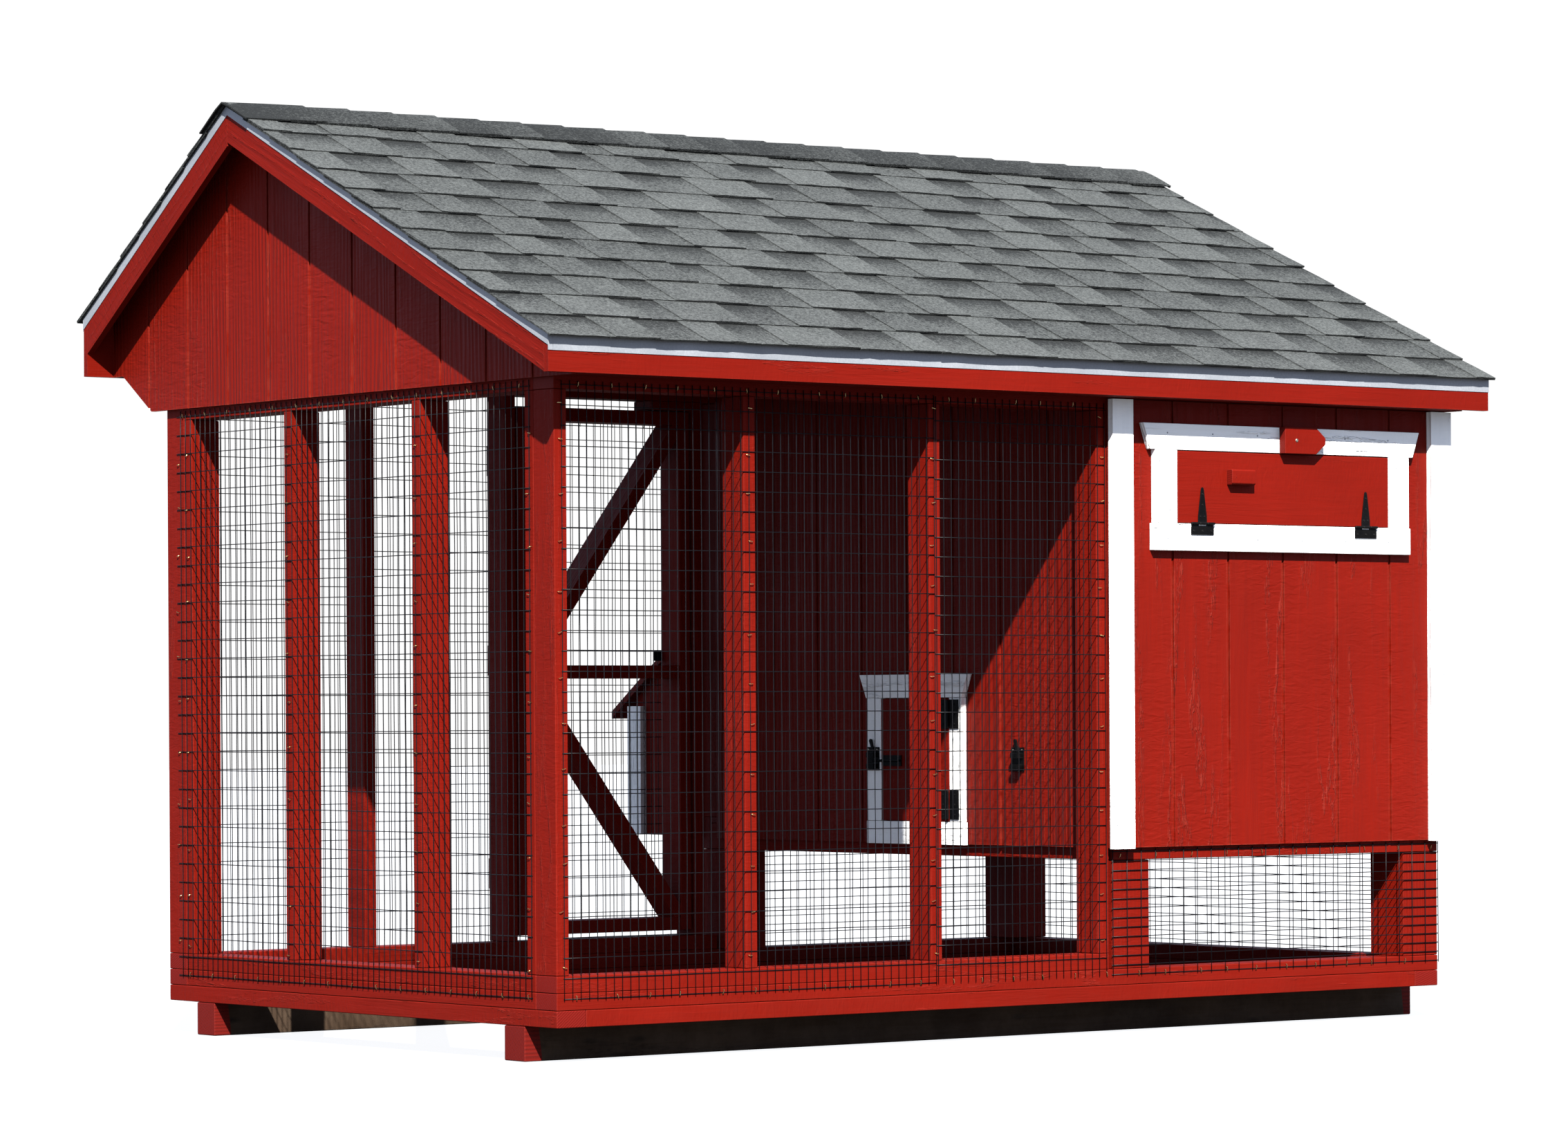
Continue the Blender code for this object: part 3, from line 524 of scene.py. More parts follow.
def prism(bm, outline, axis, start, end, along, ends=None, **more):
    def spot(u, v, w):
        return {"x": (w, u, v), "y": (u, w, v), "z": (u, v, w)}[axis]
    count = len(outline)
    points = [spot(u, v, start) for u, v in outline] + [spot(u, v, end) for u, v in outline]
    faces = [tuple(range(count)), tuple(range(count, 2 * count))]
    faces += [(i, (i + 1) % count, count + (i + 1) % count, count + i) for i in range(count)]
    return addHull(bm, points, faces, along, ends, **more)


def joinRings(bm, rings, smooth=False):
    for a, b in zip(rings, rings[1:]):
        for k in range(len(a)):
            j = (k + 1) % len(a)
            bm.faces.new((a[k], a[j], b[j], b[k])).smooth = smooth
    bm.faces.new(rings[0][::-1])
    bm.faces.new(rings[-1])


def softEdges(obj, width, angle):
    soft = obj.modifiers.new("soft_edges", "BEVEL")
    soft.width = width * inch
    soft.segments = 2
    soft.limit_method = "ANGLE"
    soft.angle_limit = math.radians(angle)


def finishPiece(name, bm, materials, body="coop", cad=(), slot=None, bevel=0.0):
    mesh = bpy.data.meshes.new(name)
    bm.to_mesh(mesh)
    bm.free()
    obj = bpy.data.objects.new(name, mesh)
    scene.collection.objects.link(obj)
    for label in materials:
        mesh.materials.append(mats[label])
    if bevel:
        softEdges(obj, bevel, 35)
        mesh.polygons.foreach_set("use_smooth", [True] * len(mesh.polygons))
        obj.modifiers.new("even_normals", "WEIGHTED_NORMAL").keep_sharp = True
    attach(obj, body)
    if cad:
        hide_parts(*cad)
    return obj


def dress(label, *names, bevel=0.06):
    for name in names:
        obj = nodes[name]
        for holder in obj.material_slots:
            holder.material = mats[label]
        if bevel:
            softEdges(obj, bevel, 40)


gap = 0.02
redBoards = ("board", "boardEnd")
board = {"bevel": 0.09, "wide": 3.5, "thin": 1.5, "layer": 1.7}


def boardRing(name, node, z, endsThrough, xEnd=coopLong, right=True):
    wide, top = board["wide"], z + board["layer"] - gap
    x0, x1 = (wide + gap, xEnd - wide - gap) if endsThrough else (0, xEnd)
    y0, y1 = (0, coopDeep) if endsThrough else (wide + gap, coopDeep - wide - gap)
    bm = newMesh()
    for y in (0, coopDeep - wide):
        plank(bm, (x0, y, z), (x1, y + wide, top))
    for x in (0, xEnd - wide)[:2 if right else 1]:
        plank(bm, (x, y0, z), (x + wide, y1, top), "y")
    finishPiece(name, bm, redBoards, cad=(node,), bevel=board["bevel"])


skid = {"painted": (1.7, 1.5), "slant": 0.12, "bevel": 0.12}


def makeSkid(name):
    low, high = local(name)
    left, right = low.x + skid["painted"][0], high.x - skid["painted"][1]
    bm = newMesh()
    outline = [(low.x, low.z), (high.x, low.z), (high.x, high.z), (low.x, high.z)]
    prism(bm, outline, "y", low.y, high.y, (1, 0, 0), 1)
    for x in (left, right):  # the paint of the ends runs a little way round
        every = bm.verts[:] + bm.edges[:] + bm.faces[:]
        bmesh.ops.bisect_plane(bm, geom=every, plane_co=at(x, 0, 0), plane_no=(1, 0, skid["slant"]))
    for f in bm.faces:
        middle = (f.calc_center_median() - corner).x / inch
        if middle < left or middle > right:
            f.material_index = 1
    finishPiece(name + "_beam", bm, ("skid", "skidEnd"), cad=(name,), bevel=skid["bevel"])


def makeBase():
    layer = board["layer"]
    boardRing("base_boards", "base_frame", 0, True)
    boardRing("sill_boards", "sill_frame", layer, False)
    boardRing("plate_boards", "bottom_plates", 2 * layer, False, wall["runEnd"], False)
    for name in ("skid_front", "skid_back"):
        makeSkid(name)


wall = {"foot": 5.1, "runEnd": 71.5, "plate": 62.4, "backPlate": 66.5, "floor": 18.6, "houseLeft": 72.03,
        "front": (0, 23.2, 47.2, 70.0), "left": (3.5, 23.3, 47.2, 67.0), "back": (0, 22.9, 41.9, 68.2)}


def studRow(name, node, places, y, top):
    thin, wide, houseLeft = board["thin"], board["wide"], wall["houseLeft"]
    bm = newMesh()
    for xs, foot in ((places, wall["foot"]), ((houseLeft, 118.5), wall["floor"])):
        for x in xs:
            plank(bm, (x, y, foot), (x + thin, y + wide, top - gap), "z")
    plank(bm, (0, y, top), (coopLong, y + wide, top + thin))
    if y:  # stop block over the run door
        plank(bm, (62.4, y, 65.42), (68.18, 71.9, top - gap))
    finishPiece(name, bm, redBoards, cad=(node,), bevel=board["bevel"])


def makeFrames():
    thin, wide, houseLeft = board["thin"], board["wide"], wall["houseLeft"]
    studRow("front_studs", "wall_frame_front", wall["front"], 0, wall["plate"])
    bm = newMesh()
    for y in wall["left"]:
        plank(bm, (0, y + gap, wall["foot"]), (wide, y + thin - gap, wall["plate"] - gap), "z")
    plank(bm, (0, wide + gap, wall["plate"]), (wide, coopDeep - wide - gap, wall["plate"] + thin), "y")
    finishPiece("left_studs", bm, redBoards, cad=("wall_frame_left",), bevel=board["bevel"])
    studRow("back_studs", "wall_frame_back", wall["back"], coopDeep - wide, wall["backPlate"])
    bm = newMesh()
    plank(bm, (houseLeft, 1.55, 17.9), (coopLong, 70.45, wall["floor"]))
    for y in (0, 70.5):
        plank(bm, (houseLeft, y, 14.9), (coopLong, y + thin, wall["floor"]))
    for x in (houseLeft, 118.5):
        plank(bm, (x, 1.53, 14.9), (x + thin, 70.47, 17.88), "y")
    for x in (houseLeft, 114.8):
        for y in (0.05, 66.75):
            plank(bm, (x, y, 3.4), (x + 5.2, y + 5.2, 14.88), "z")
    finishPiece("platform_boards", bm, redBoards, cad=("house_platform",), bevel=board["bevel"])


rafters = {"places": (0.1, 23.2, 47.2, 69.8, 95.0, 118.4), "wide": 3.3, "thin": 1.5, "under": 0.52}


def makeRafters():
    bm = newMesh()
    drop = rafters["under"]
    low = drop + rafters["wide"]

    def underZ(y, lift):
        angle = frontAngle if y <= ridgeY else backAngle
        return ridgeZ - abs(ridgeY - y) * math.tan(angle) - lift / math.cos(angle)
    for x in rafters["places"]:
        for y0, y1, way in ((0.2, 52.6, frontSlope), (54.2, 71.8, backSlope)):
            outline = [(y0, underZ(y0, drop)), (y1, underZ(y1, drop)), (y1, underZ(y1, low)),
                       (y0, max(underZ(y0, low), 63.95))]
            prism(bm, outline, "x", x, x + rafters["thin"], way)
    plank(bm, (0.1, 52.65, 88.2), (119.9, 54.15, 93.4))
    finishPiece("rafters", bm, ("timber",), slot="roof_deck_front", bevel=0.06)


roof = {"exposure": 5.65, "thick": 0.17, "teeth": (4.5, 9.5), "past": 0.7, "wave": 0.035}


def slopePoint(side, s, lift):
    angle = frontAngle if side == "front" else backAngle
    way = -1 if side == "front" else 1
    eave = (frontEave if side == "front" else backEave) + way * roof["past"]
    length = abs(eave - ridgeY) / math.cos(angle)
    d = length - s  # s runs up the slope from the eave
    y = ridgeY + way * (d * math.cos(angle)) + way * lift * math.sin(angle)
    z = ridgeZ - d * math.sin(angle) + lift * math.cos(angle)
    return y, z, length


def tabSheet(bm, side, x0, x1, s0, s1, high, tone0, tone1, steps=4):
    shade = bm.verts.layers.float["tone"]
    fall = (s1 - s0) / roof["exposure"] * 0.2
    tops, unders = [], []
    for j in range(4):
        t = (0.0, 0.3, 0.57, 1.0)[j]
        s = s0 + (s1 - s0) * t
        line, lower = [], []
        for i in range(steps + 1):
            x = x0 + (x1 - x0) * i / steps
            wave = random.uniform(-1, 1) * roof["wave"] * (1 - t)
            nip = random.uniform(-0.5, 1) * 0.06 * (j == 0)
            lift = high - fall * t + wave
            top, under = (bm.verts.new(at(x, *slopePoint(side, s + nip, up)[:2]))
                          for up in (lift, lift - roof["thick"] * (1 - 0.5 * t)))
            top[shade] = tone1 + (tone0 - tone1) * (0.0, 0.25, 1.0, 1.0)[j]
            under[shade] = tone1 - 0.3
            line.append(top)
            lower.append(under)
        tops.append(line)
        unders.append(lower)
    made = []
    for j in range(3):
        (a, b), (au, bu) = tops[j:j + 2], unders[j:j + 2]
        for i in range(steps):
            made.append(bm.faces.new((a[i], a[i + 1], b[i + 1], b[i])))
            made.append(bm.faces.new((au[i], bu[i], bu[i + 1], au[i + 1])))
        for i, way in ((0, 1), (steps, -1)):
            made.append(bm.faces.new((a[i], b[i], bu[i], au[i])[::way]))
    edge = []  # the cut edge is bare dark asphalt, so it has its own corners
    for top, under in zip(tops[0], unders[0]):
        pair = [bm.verts.new(v.co) for v in (top, under)]
        for v in pair:
            v[shade] = -0.75
        edge.append(pair)
    for i in range(steps):
        made.append(bm.faces.new((edge[i][0], edge[i][1], edge[i + 1][1], edge[i + 1][0])))
        made.append(bm.faces.new((tops[3][i], tops[3][i + 1], unders[3][i + 1], unders[3][i])))
    bmesh.ops.recalc_face_normals(bm, faces=made)


def makeShingles():
    x0, x1 = -4.15, 124.15  # a little past the metal edge
    for side in ("front", "back"):
        bm = newMesh()
        total = slopePoint(side, 0, 0)[2]
        s = 0.0
        course = 0
        while s < total - 1.5:
            reach = min(roof["exposure"] * 1.75, total - s - 0.05)
            # the under layer runs straight through, dark under the upper course and fading down
            x = x0
            while x < x1 - 0.1:
                wide = min(random.uniform(*roof["teeth"]), x1 - x)
                if x1 - x - wide < 2.5:
                    wide = x1 - x
                dark = random.uniform(-0.3, 0.0)
                tabSheet(bm, side, x, x + wide - 0.03, s, s + reach, 0.33, dark, random.uniform(0.34, 0.5))
                x += wide
            # the teeth of the upper layer lie on it
            x = x0 + random.uniform(-6, 0)
            while x < x1 - 2:
                wide = random.uniform(*roof["teeth"])
                a, b = max(x, x0), min(x + wide, x1)
                if b - a > 1.5:
                    tone = random.uniform(0.3, 0.5)
                    tabSheet(bm, side, a, b, s, s + reach, 0.44, tone - 0.06, tone + 0.04)
                x += wide + random.uniform(4.0, 8.5)
            s += roof["exposure"]
            course += 1
        finishPiece("tabs_" + side, bm, ("shingle",), cad=("shingles_" + side,))
        print("shingle courses", side, course)


ridge = {"reach": 5.1, "step": 5.6, "thick": 0.16, "low": 0.44, "rise": 0.26}


def makeRidge():
    bm = newMesh()
    shade = bm.verts.layers.float["tone"]
    x = -4.5
    while x < 124.4:
        long = min(ridge["step"] * 1.8, 124.5 - x)
        tone = random.uniform(0.0, 0.35)
        rings = []
        for t in (0.0, 0.5, 1.0):
            xx = x + long * t
            lift = ridge["low"] + ridge["rise"] * t * (long / (ridge["step"] * 1.8))
            line, under = [], []
            for k in range(-4, 5):
                d = ridge["reach"] * k / 4
                angle = frontAngle if k < 0 else backAngle
                side = -1 if k < 0 else 1
                curve = 0.16 * math.exp(-(k / 1.3) ** 2)
                for store, up in ((line, lift), (under, lift - ridge["thick"])):
                    if k == 0:
                        y, z = ridgeY, ridgeZ + up * 1.08 - curve
                    else:
                        y = ridgeY + d * math.cos(angle) + side * up * math.sin(angle)
                        z = ridgeZ - abs(d) * math.sin(angle) + up * math.cos(angle) - curve * 0.3
                    v = bm.verts.new(at(xx, y, z + random.uniform(-0.015, 0.015)))
                    v[shade] = tone - 0.25 * (1 - t)
                    store.append(v)
            rings.append((line, under))
        made = []
        for (a, au), (b, bu) in zip(rings, rings[1:]):
            for i in range(8):
                made.append(bm.faces.new((a[i], a[i + 1], b[i + 1], b[i])))
                made.append(bm.faces.new((au[i], bu[i], bu[i + 1], au[i + 1])))
            made.append(bm.faces.new((a[0], b[0], bu[0], au[0])))
            made.append(bm.faces.new((a[8], au[8], bu[8], b[8])))
        for a, au in (rings[0], rings[-1]):
            for i in range(8):
                made.append(bm.faces.new((a[i], au[i], au[i + 1], a[i + 1])))
        bmesh.ops.recalc_face_normals(bm, faces=made)
        x += ridge["step"]
    finishPiece("ridge_tabs", bm, ("ridge",), cad=("ridge_cap",))


wire = {"radius": 0.047, "sides": 6, "bend": 4.0, "wobble": 0.025}


def wobble(p):
    a = wire["wobble"]
    return Vector((math.sin(p[1] * 0.31 + p[2] * 0.47) + math.sin(p[0] * 0.23 + p[2] * 0.11),
                   math.sin(p[0] * 0.29 + p[2] * 0.37) + math.sin(p[2] * 0.19 + 1.3),
                   math.sin(p[0] * 0.41 + p[1] * 0.33) + math.sin(p[1] * 0.17 + 0.7))) * a * 0.5


def addWire(bm, start, end, normal):
    a, b = Vector(start), Vector(end)
    count = max(1, round((b - a).length / wire["bend"]))
    along = (b - a).normalized()
    n = Vector(normal)
    side = along.cross(n)
    rings = []
    for i in range(count + 1):
        p = a.lerp(b, i / count)
        p = p + wobble(p)
        ring = []
        for k in range(wire["sides"]):
            t = 2 * math.pi * k / wire["sides"]
            ring.append(bm.verts.new(at(*(p + (side * math.cos(t) + n * math.sin(t)) * wire["radius"]))))
        rings.append(ring)
    joinRings(bm, rings)


def span(first, last, step):
    return [first + i * step for i in range(int((last - first) / step + 1e-6) + 1)]


# each face of the coop: where it starts, the way across it and the way it looks
sides = {"front": ((0, 0, 0), (1, 0, 0), (0, -1, 0)), "left": ((0, 0, 0), (0, 1, 0), (-1, 0, 0)),
         "back": ((0, coopDeep, 0), (1, 0, 0), (0, 1, 0)), "right": ((coopLong, 0, 0), (0, 1, 0), (1, 0, 0))}
# panels of each net: its face, the upright and the level wires, and how far the level and upright ones reach
nets = {
    "front": (("front", (0.85, 47.9, 1), (2.8, 63, 2), (0.8, 47.9), (2.62, 63.2)),
              ("front", (48.1, 71.1, 1), (4.6, 62.8, 2), (48.0, 71.15), (2.7, 63.1))),
    "left": (("left", (4.05, 69.9, 1), (2.8, 63.2, 2), (3.98, 69.92), (2.62, 63.4)),),
    "back": (("back", (0.85, 42.5, 1), (2.8, 67.4, 2), (0.8, 42.55), (2.62, 67.55)),),
    "under_house": (("front", (72.0, coopLong, 2), (2.8, 16.1, 1), (71.85, coopLong), (2.62, 16.05)),
                    ("right", (0, coopDeep, 2), (2.8, 16.1, 1), (0, coopDeep), (2.62, 16.05)),
                    ("back", (72.0, coopLong, 2), (2.8, 16.1, 1), (71.85, coopLong), (2.62, 16.05))),
    "run_door": (("back", (43.8, 67.6, 1), (5.9, 65.1, 2), (43.75, 67.55), (5.85, 65.15)),),
}


def wirePanel(bm, side, widths, heights, spread, rise):
    o, u, n = (Vector(v) for v in sides[side])
    up = Vector((0, 0, 1))
    for w in span(*widths):
        addWire(bm, *(o + u * w + n * 0.11 + up * z for z in rise), n)
    for h in span(*heights):
        addWire(bm, *(o + u * w + n * 0.05 + up * h for w in spread), n)


def makeWires():
    for name, panels in nets.items():
        bm = newMesh()
        for panel in panels:
            wirePanel(bm, *panel)
        for f in bm.faces:
            f.smooth = len(f.verts) == 4
        bmesh.ops.recalc_face_normals(bm, faces=bm.faces)
        body = "run_door" if name == "run_door" else "coop"
        finishPiece("wires_" + name, bm, ("wireCoat",), body, ("mesh_" + name,))


staple = {"crown": 0.46, "wire": 0.055, "proud": 0.17}


def addStaple(bm, p, normal, upright):
    n = Vector(normal)
    up = Vector((0, 0, 1))
    side = n.cross(up)
    tilt = random.uniform(-0.35, 0.35) + (math.pi / 2 if upright else 0)
    u = side * math.cos(tilt) + up * math.sin(tilt)
    v = n.cross(u)
    half = staple["crown"] / 2
    w = staple["wire"] / 2
    out = staple["proud"]
    leg = [(half, 0.0), (half, out * 0.75), (half * 0.7, out)]
    line = [(-a, b) for a, b in leg] + leg[::-1]
    rings = []
    for i, (a, b) in enumerate(line):
        c = Vector(p) + u * a + n * b
        grow = u if i in (0, 1, 4, 5) else n
        rings.append([bm.verts.new(at(*(c + v * sv * w + grow * sg * w)))
                      for sv, sg in ((-1, -1), (1, -1), (1, 1), (-1, 1))])
    joinRings(bm, rings)


def jitter(reach):
    return random.uniform(-reach, reach) if reach else 0.0


def stapleAt(bm, side, u, z, upright, du=0.0, dz=0.0):
    start, across, normal = (Vector(v) for v in sides[side])
    spot = start + across * (u + jitter(du))
    addStaple(bm, spot + Vector((0, 0, z + jitter(dz))), normal, upright)


def stapleColumns(bm, side, places, heights, du):
    for u in places:
        for z in span(*heights):
            stapleAt(bm, side, u, z, False, du, 0.6)


def makeStaples():
    bm = newMesh()
    stapleColumns(bm, "front", (0.75, 23.95, 47.7, 70.6), (6.3, 61.5, 4.6), 0.25)
    for x in span(2.5, 117, 4.3):
        stapleAt(bm, "front", x, 2.9, True, 0.6)
        if x < 70:
            stapleAt(bm, "front", x, 62.9, True, 0.8)
    stapleColumns(bm, "left", (4.3, 24.05, 47.95, 67.8, 69.6), (6.0, 61.5, 5.2), 0.25)
    for y in span(4.6, 68, 4.5):
        stapleAt(bm, "left", y, 2.9, True)
        stapleAt(bm, "left", y + 1, 62.9, True)
    stapleColumns(bm, "back", (0.75, 23.65, 42.3), (6.3, 64, 5.0), 0)
    for x in span(2.5, 41, 4.3):
        for z in (2.9, 67.2):
            stapleAt(bm, "back", x, z, True)
    for x in span(73, 119, 5.1):
        for side in ("front", "back"):
            stapleAt(bm, side, x, 15.4, True)
    for y in span(3, 70, 5.1):
        for z in (15.4, 2.9):
            stapleAt(bm, "right", y, z, True)
    bmesh.ops.recalc_face_normals(bm, faces=bm.faces)
    finishPiece("staples", bm, ("brass",), slot="hold_latch_lever")
    bm = newMesh()
    for z in span(7, 63.5, 5.2):
        for x in (44.35, 67.0):
            stapleAt(bm, "back", x, z, False)
    for x in span(46, 66, 4.5):
        for z in (6.4, 35.2, 63.7):
            stapleAt(bm, "back", x, z, True)
    bmesh.ops.recalc_face_normals(bm, faces=bm.faces)
    finishPiece("staples_run_door", bm, ("brass",), "run_door", slot="run_strike")


# width and height of the head from rim to cross slot, as shares of its radius and its height
screwProfile = ((1, 0), (1, 0.35), (0.78, 0.85), (0.4, 1), (0.3, 0.4))


def addScrew(bm, centre, normal, radius=0.19, high=0.07):
    n = Vector(normal).normalized()
    u = n.orthogonal().normalized()
    v = n.cross(u)
    turn = random.uniform(0, 1.5)
    rings = []
    for wide, tall in screwProfile:
        ring = []
        for k in range(12):
            t = 2 * math.pi * k / 12 + turn
            r = radius * wide * (1.0 if wide > 0.35 or k % 3 == 0 else 0.45)
            spot = Vector(centre) + (u * math.cos(t) + v * math.sin(t)) * r + n * high * tall
            ring.append(bm.verts.new(at(*spot)))
        rings.append(ring)
    joinRings(bm, rings)


def addRod(bm, start, end, radius, sides=14):
    a, b = Vector(start), Vector(end)
    n = (b - a).normalized()
    u = n.orthogonal().normalized()
    v = n.cross(u)
    long = (b - a).length
    lip = min(radius * 0.3, long * 0.1)
    stations = [(0, radius - lip), (lip, radius), (long - lip, radius), (long, radius - lip)]
    rings = []
    turns = [2 * math.pi * k / sides for k in range(sides)]
    for d, r in stations:
        rings.append([bm.verts.new(at(*(a + n * d + (u * math.cos(t) + v * math.sin(t)) * r)))
                      for t in turns])
    joinRings(bm, rings, smooth=True)


# a leaf screwed flat to a board, with its pin if it carries one: place, reach past the leaf's ends and radius
def hingeLeaf(name, low, high, screws, normal, body, pin=None, **more):
    bm = newMesh()
    plank(bm, low, high, "z", None)
    z0, z1 = low[2], high[2]
    if pin:
        x, y, short, radius = pin
        addRod(bm, (x, y, z0 + short), (x, y, z1 - short), radius)
    for z in (z0 + 0.5, (z0 + z1) / 2, z1 - 0.5):
        addScrew(bm, (*screws, z), normal, 0.13, 0.05)
    finishPiece(name, bm, ("blackPowder",), body, bevel=0.02, **more)


drop = {"x": (80.4, 111.6), "z": (50.6, 58.4), "face": -1.25, "strap": (83.9, 108.0),
        "axis": (-1.45, 50.62), "button": (96.9, 59.8)}


def makeDropDoor():
    x0, x1 = drop["x"]
    z0, z1 = drop["z"]
    y0 = drop["face"]
    bm = newMesh()
    plank(bm, (x0 + 0.06, y0 + 0.01, z0 + 0.05), (x1 - 0.06, -0.52, z1 - 0.09), "x")
    grip = [(0.88, 56.35), (0.88, 55.0), (0.7, 54.82), (0.004, 54.82), (0.004, 56.48), (0.75, 56.48)]
    prism(bm, [(y0 - out, z) for out, z in grip], "x", 87.52, 90.98, (1, 0, 0), 1)
    finishPiece("drop_door_panel", bm, redBoards, "drop_door", ("drop_door",), bevel=0.07)
    bm = newMesh()
    prism(bm, [(76.6, 58.42), (115.3, 58.42), (116.3, 61.2), (75.6, 61.2)], "y", y0, -0.51, (1, 0, 0))
    for x in (x0 - 3.1, x1):
        plank(bm, (x, y0, z0 + gap), (x + 3.1, -0.51, z1), "z", None)
    plank(bm, (77.05, y0 - 0.01, 47.7), (114.9, -0.51, z0 - 0.01), "x", None)
    finishPiece("drop_door_casing", bm, ("white",), cad=("drop_door_trim",), bevel=0.06)
    bm = newMesh()
    for x in (77.9, 79.3, 112.7, 114.1):
        for z in (52.0, 57.2):
            addScrew(bm, (x, y0 - 0.005, z), (0, -1, 0), 0.09, 0.02)
    for x in span(79, 113, 6.5):
        for z in (49.0, 60.2):
            addScrew(bm, (x, y0 - 0.015, z), (0, -1, 0), 0.09, 0.02)
    finishPiece("casing_nails", bm, ("whiteMetalWithPaintedShade",), slot="drop_door_trim")
    for side, x in zip(("left", "right"), drop["strap"]):
        y1 = y0 - 0.02
        bm = newMesh()
        half = [(0.6, 51.4), (0.22, 54.1), (0.14, 54.42)]
        shape = [(x - 0.62, 50.75), (x + 0.62, 50.75)] + [(x + u, z) for u, z in half]
        shape += [(x, 54.5)] + [(x - u, z) for u, z in half[::-1]]
        prism(bm, shape, "y", y1 - 0.1, y1, (0, 0, 1))
        addRod(bm, (x - 0.5, *drop["axis"]), (x + 0.5, *drop["axis"]), 0.14)
        for dx, z in ((-0.28, 51.35), (0.28, 51.35), (0.0, 52.6), (0.0, 53.75)):
            addScrew(bm, (x + dx, y1 - 0.1, z), (0, -1, 0), 0.12, 0.05)
        finishPiece("tee_strap_" + side, bm, ("blackPowder",), "drop_door", ("drop_strap_" + side,),
                    bevel=0.02)
        bm = newMesh()
        leaf = [(1.62, 49.4), (1.62, 50.2), (1.52, 50.5), (0.56, 50.5), (0.56, 50.38)]
        shape = [(x + u, z) for u, z in leaf] + [(x - u, z) for u, z in leaf[::-1]]
        prism(bm, shape, "y", y1 - 0.1, y1, (1, 0, 0))
        for dx in (-1.13, 1.13):
            addRod(bm, (x + dx - 0.55, *drop["axis"]), (x + dx + 0.55, *drop["axis"]), 0.14)
        for dx in (-1.25, 0, 1.25):
            addScrew(bm, (x + dx, y1 - 0.1, 49.82), (0, -1, 0), 0.13, 0.05)
        finishPiece("tee_plate_" + side, bm, ("blackPowder",), "coop", ("drop_plate_" + side,), bevel=0.02)
    low, high = local("turn_button")
    bm = newMesh()
    x, z = drop["button"]
    shape = [(x - 1.7, z - 1.45), (x + 2.9, z - 1.45), (x + 4.3, z - 0.35),
             (x + 4.3, z + 0.35), (x + 2.9, z + 1.45), (x - 1.7, z + 1.45)]
    prism(bm, shape, "y", low.y, high.y, (1, 0, 0), 1)
    finishPiece("turn_button_block", bm, redBoards, "turn_button", ("turn_button",), bevel=0.08)
    bm = newMesh()
    addScrew(bm, (x, low.y - 0.005, z), (0, -1, 0), 0.2, 0.06)
    finishPiece("turn_button_screw", bm, ("zincScrew",), "turn_button", slot="turn_button")


pop = {"x": (70.75, 71.48), "foot": 18.64, "hinges": {"top": 28.8, "bottom": 18.9}, "leaf": 3.2,
       "pin": (70.53, 25.42, 0.06, 0.14)}


def makePopDoor():
    x0, x1 = pop["x"]
    foot, tall = pop["foot"], pop["leaf"]
    bm = newMesh()
    plank(bm, (x0, 25.47, foot + 0.05), (x1, 37.18, 32.13), "z", 1)
    finishPiece("pop_door_panel", bm, redBoards, "pop_door", ("pop_door",), bevel=0.06)
    bm = newMesh()
    prism(bm, [(23.3, 32.22), (39.9, 32.22), (41.1, 34.8), (22.3, 34.8)], "x", x0, x1, (0, 1, 0))
    for y0, y1 in ((37.25, 39.75), (23.3, 25.4)):
        plank(bm, (x0, y0, foot), (x1, y1, 32.2), "z", None)
    plank(bm, (x0, 23.1, 16.1), (x1, 39.85, foot - 0.04), "y", None)
    finishPiece("pop_door_casing", bm, ("white",), cad=("pop_door_trim",), bevel=0.06)
    face = x0 - 0.02
    for end, z in pop["hinges"].items():
        hinge = "pop_hinge_" + end
        hingeLeaf("butt_hinge_" + end, (face - 0.1, 25.5, z), (face, 27.0, z + tall), (face - 0.1, 26.35),
                  (-1, 0, 0), "pop_door", pop["pin"], cad=(hinge,))
        hingeLeaf("butt_leaf_" + end, (face - 0.09, 23.75, z), (face + 0.01, 25.25, z + tall),
                  (face - 0.09, 24.4), (-1, 0, 0), "coop", slot=hinge)


def makeLatchScrews():
    bm = newMesh()
    for name in ("pop_latch", "hold_latch"):
        low, high = local(name)
        for dy, dz in ((0.3, 0.28), (1.8, 0.28), (0.3, 2.3), (1.8, 2.3)):
            addScrew(bm, (high.x - 0.12, low.y + dy, low.z + dz), (-1, 0, 0), 0.12, 0.05)
    low, high = local("run_latch")
    for dx, dz in ((1.75, 0.28), (1.75, 2.3), (0.3, 2.3)):
        addScrew(bm, (low.x + dx, low.y + 0.12, low.z + dz), (0, 1, 0), 0.12, 0.05)
    finishPiece("latch_screws", bm, ("zincScrew",), slot="run_latch")


runDoor = {"x": (43.56, 67.79), "y": (68.5, 71.99), "z": (5.72, 65.28), "rail": (34.65, 35.4),
           "tips": (63.6, 7.4), "hinges": (11.0, 35.0, 57.5), "leaf": 3.4, "pin": (43.5, 72.28, 0.1, 0.15)}


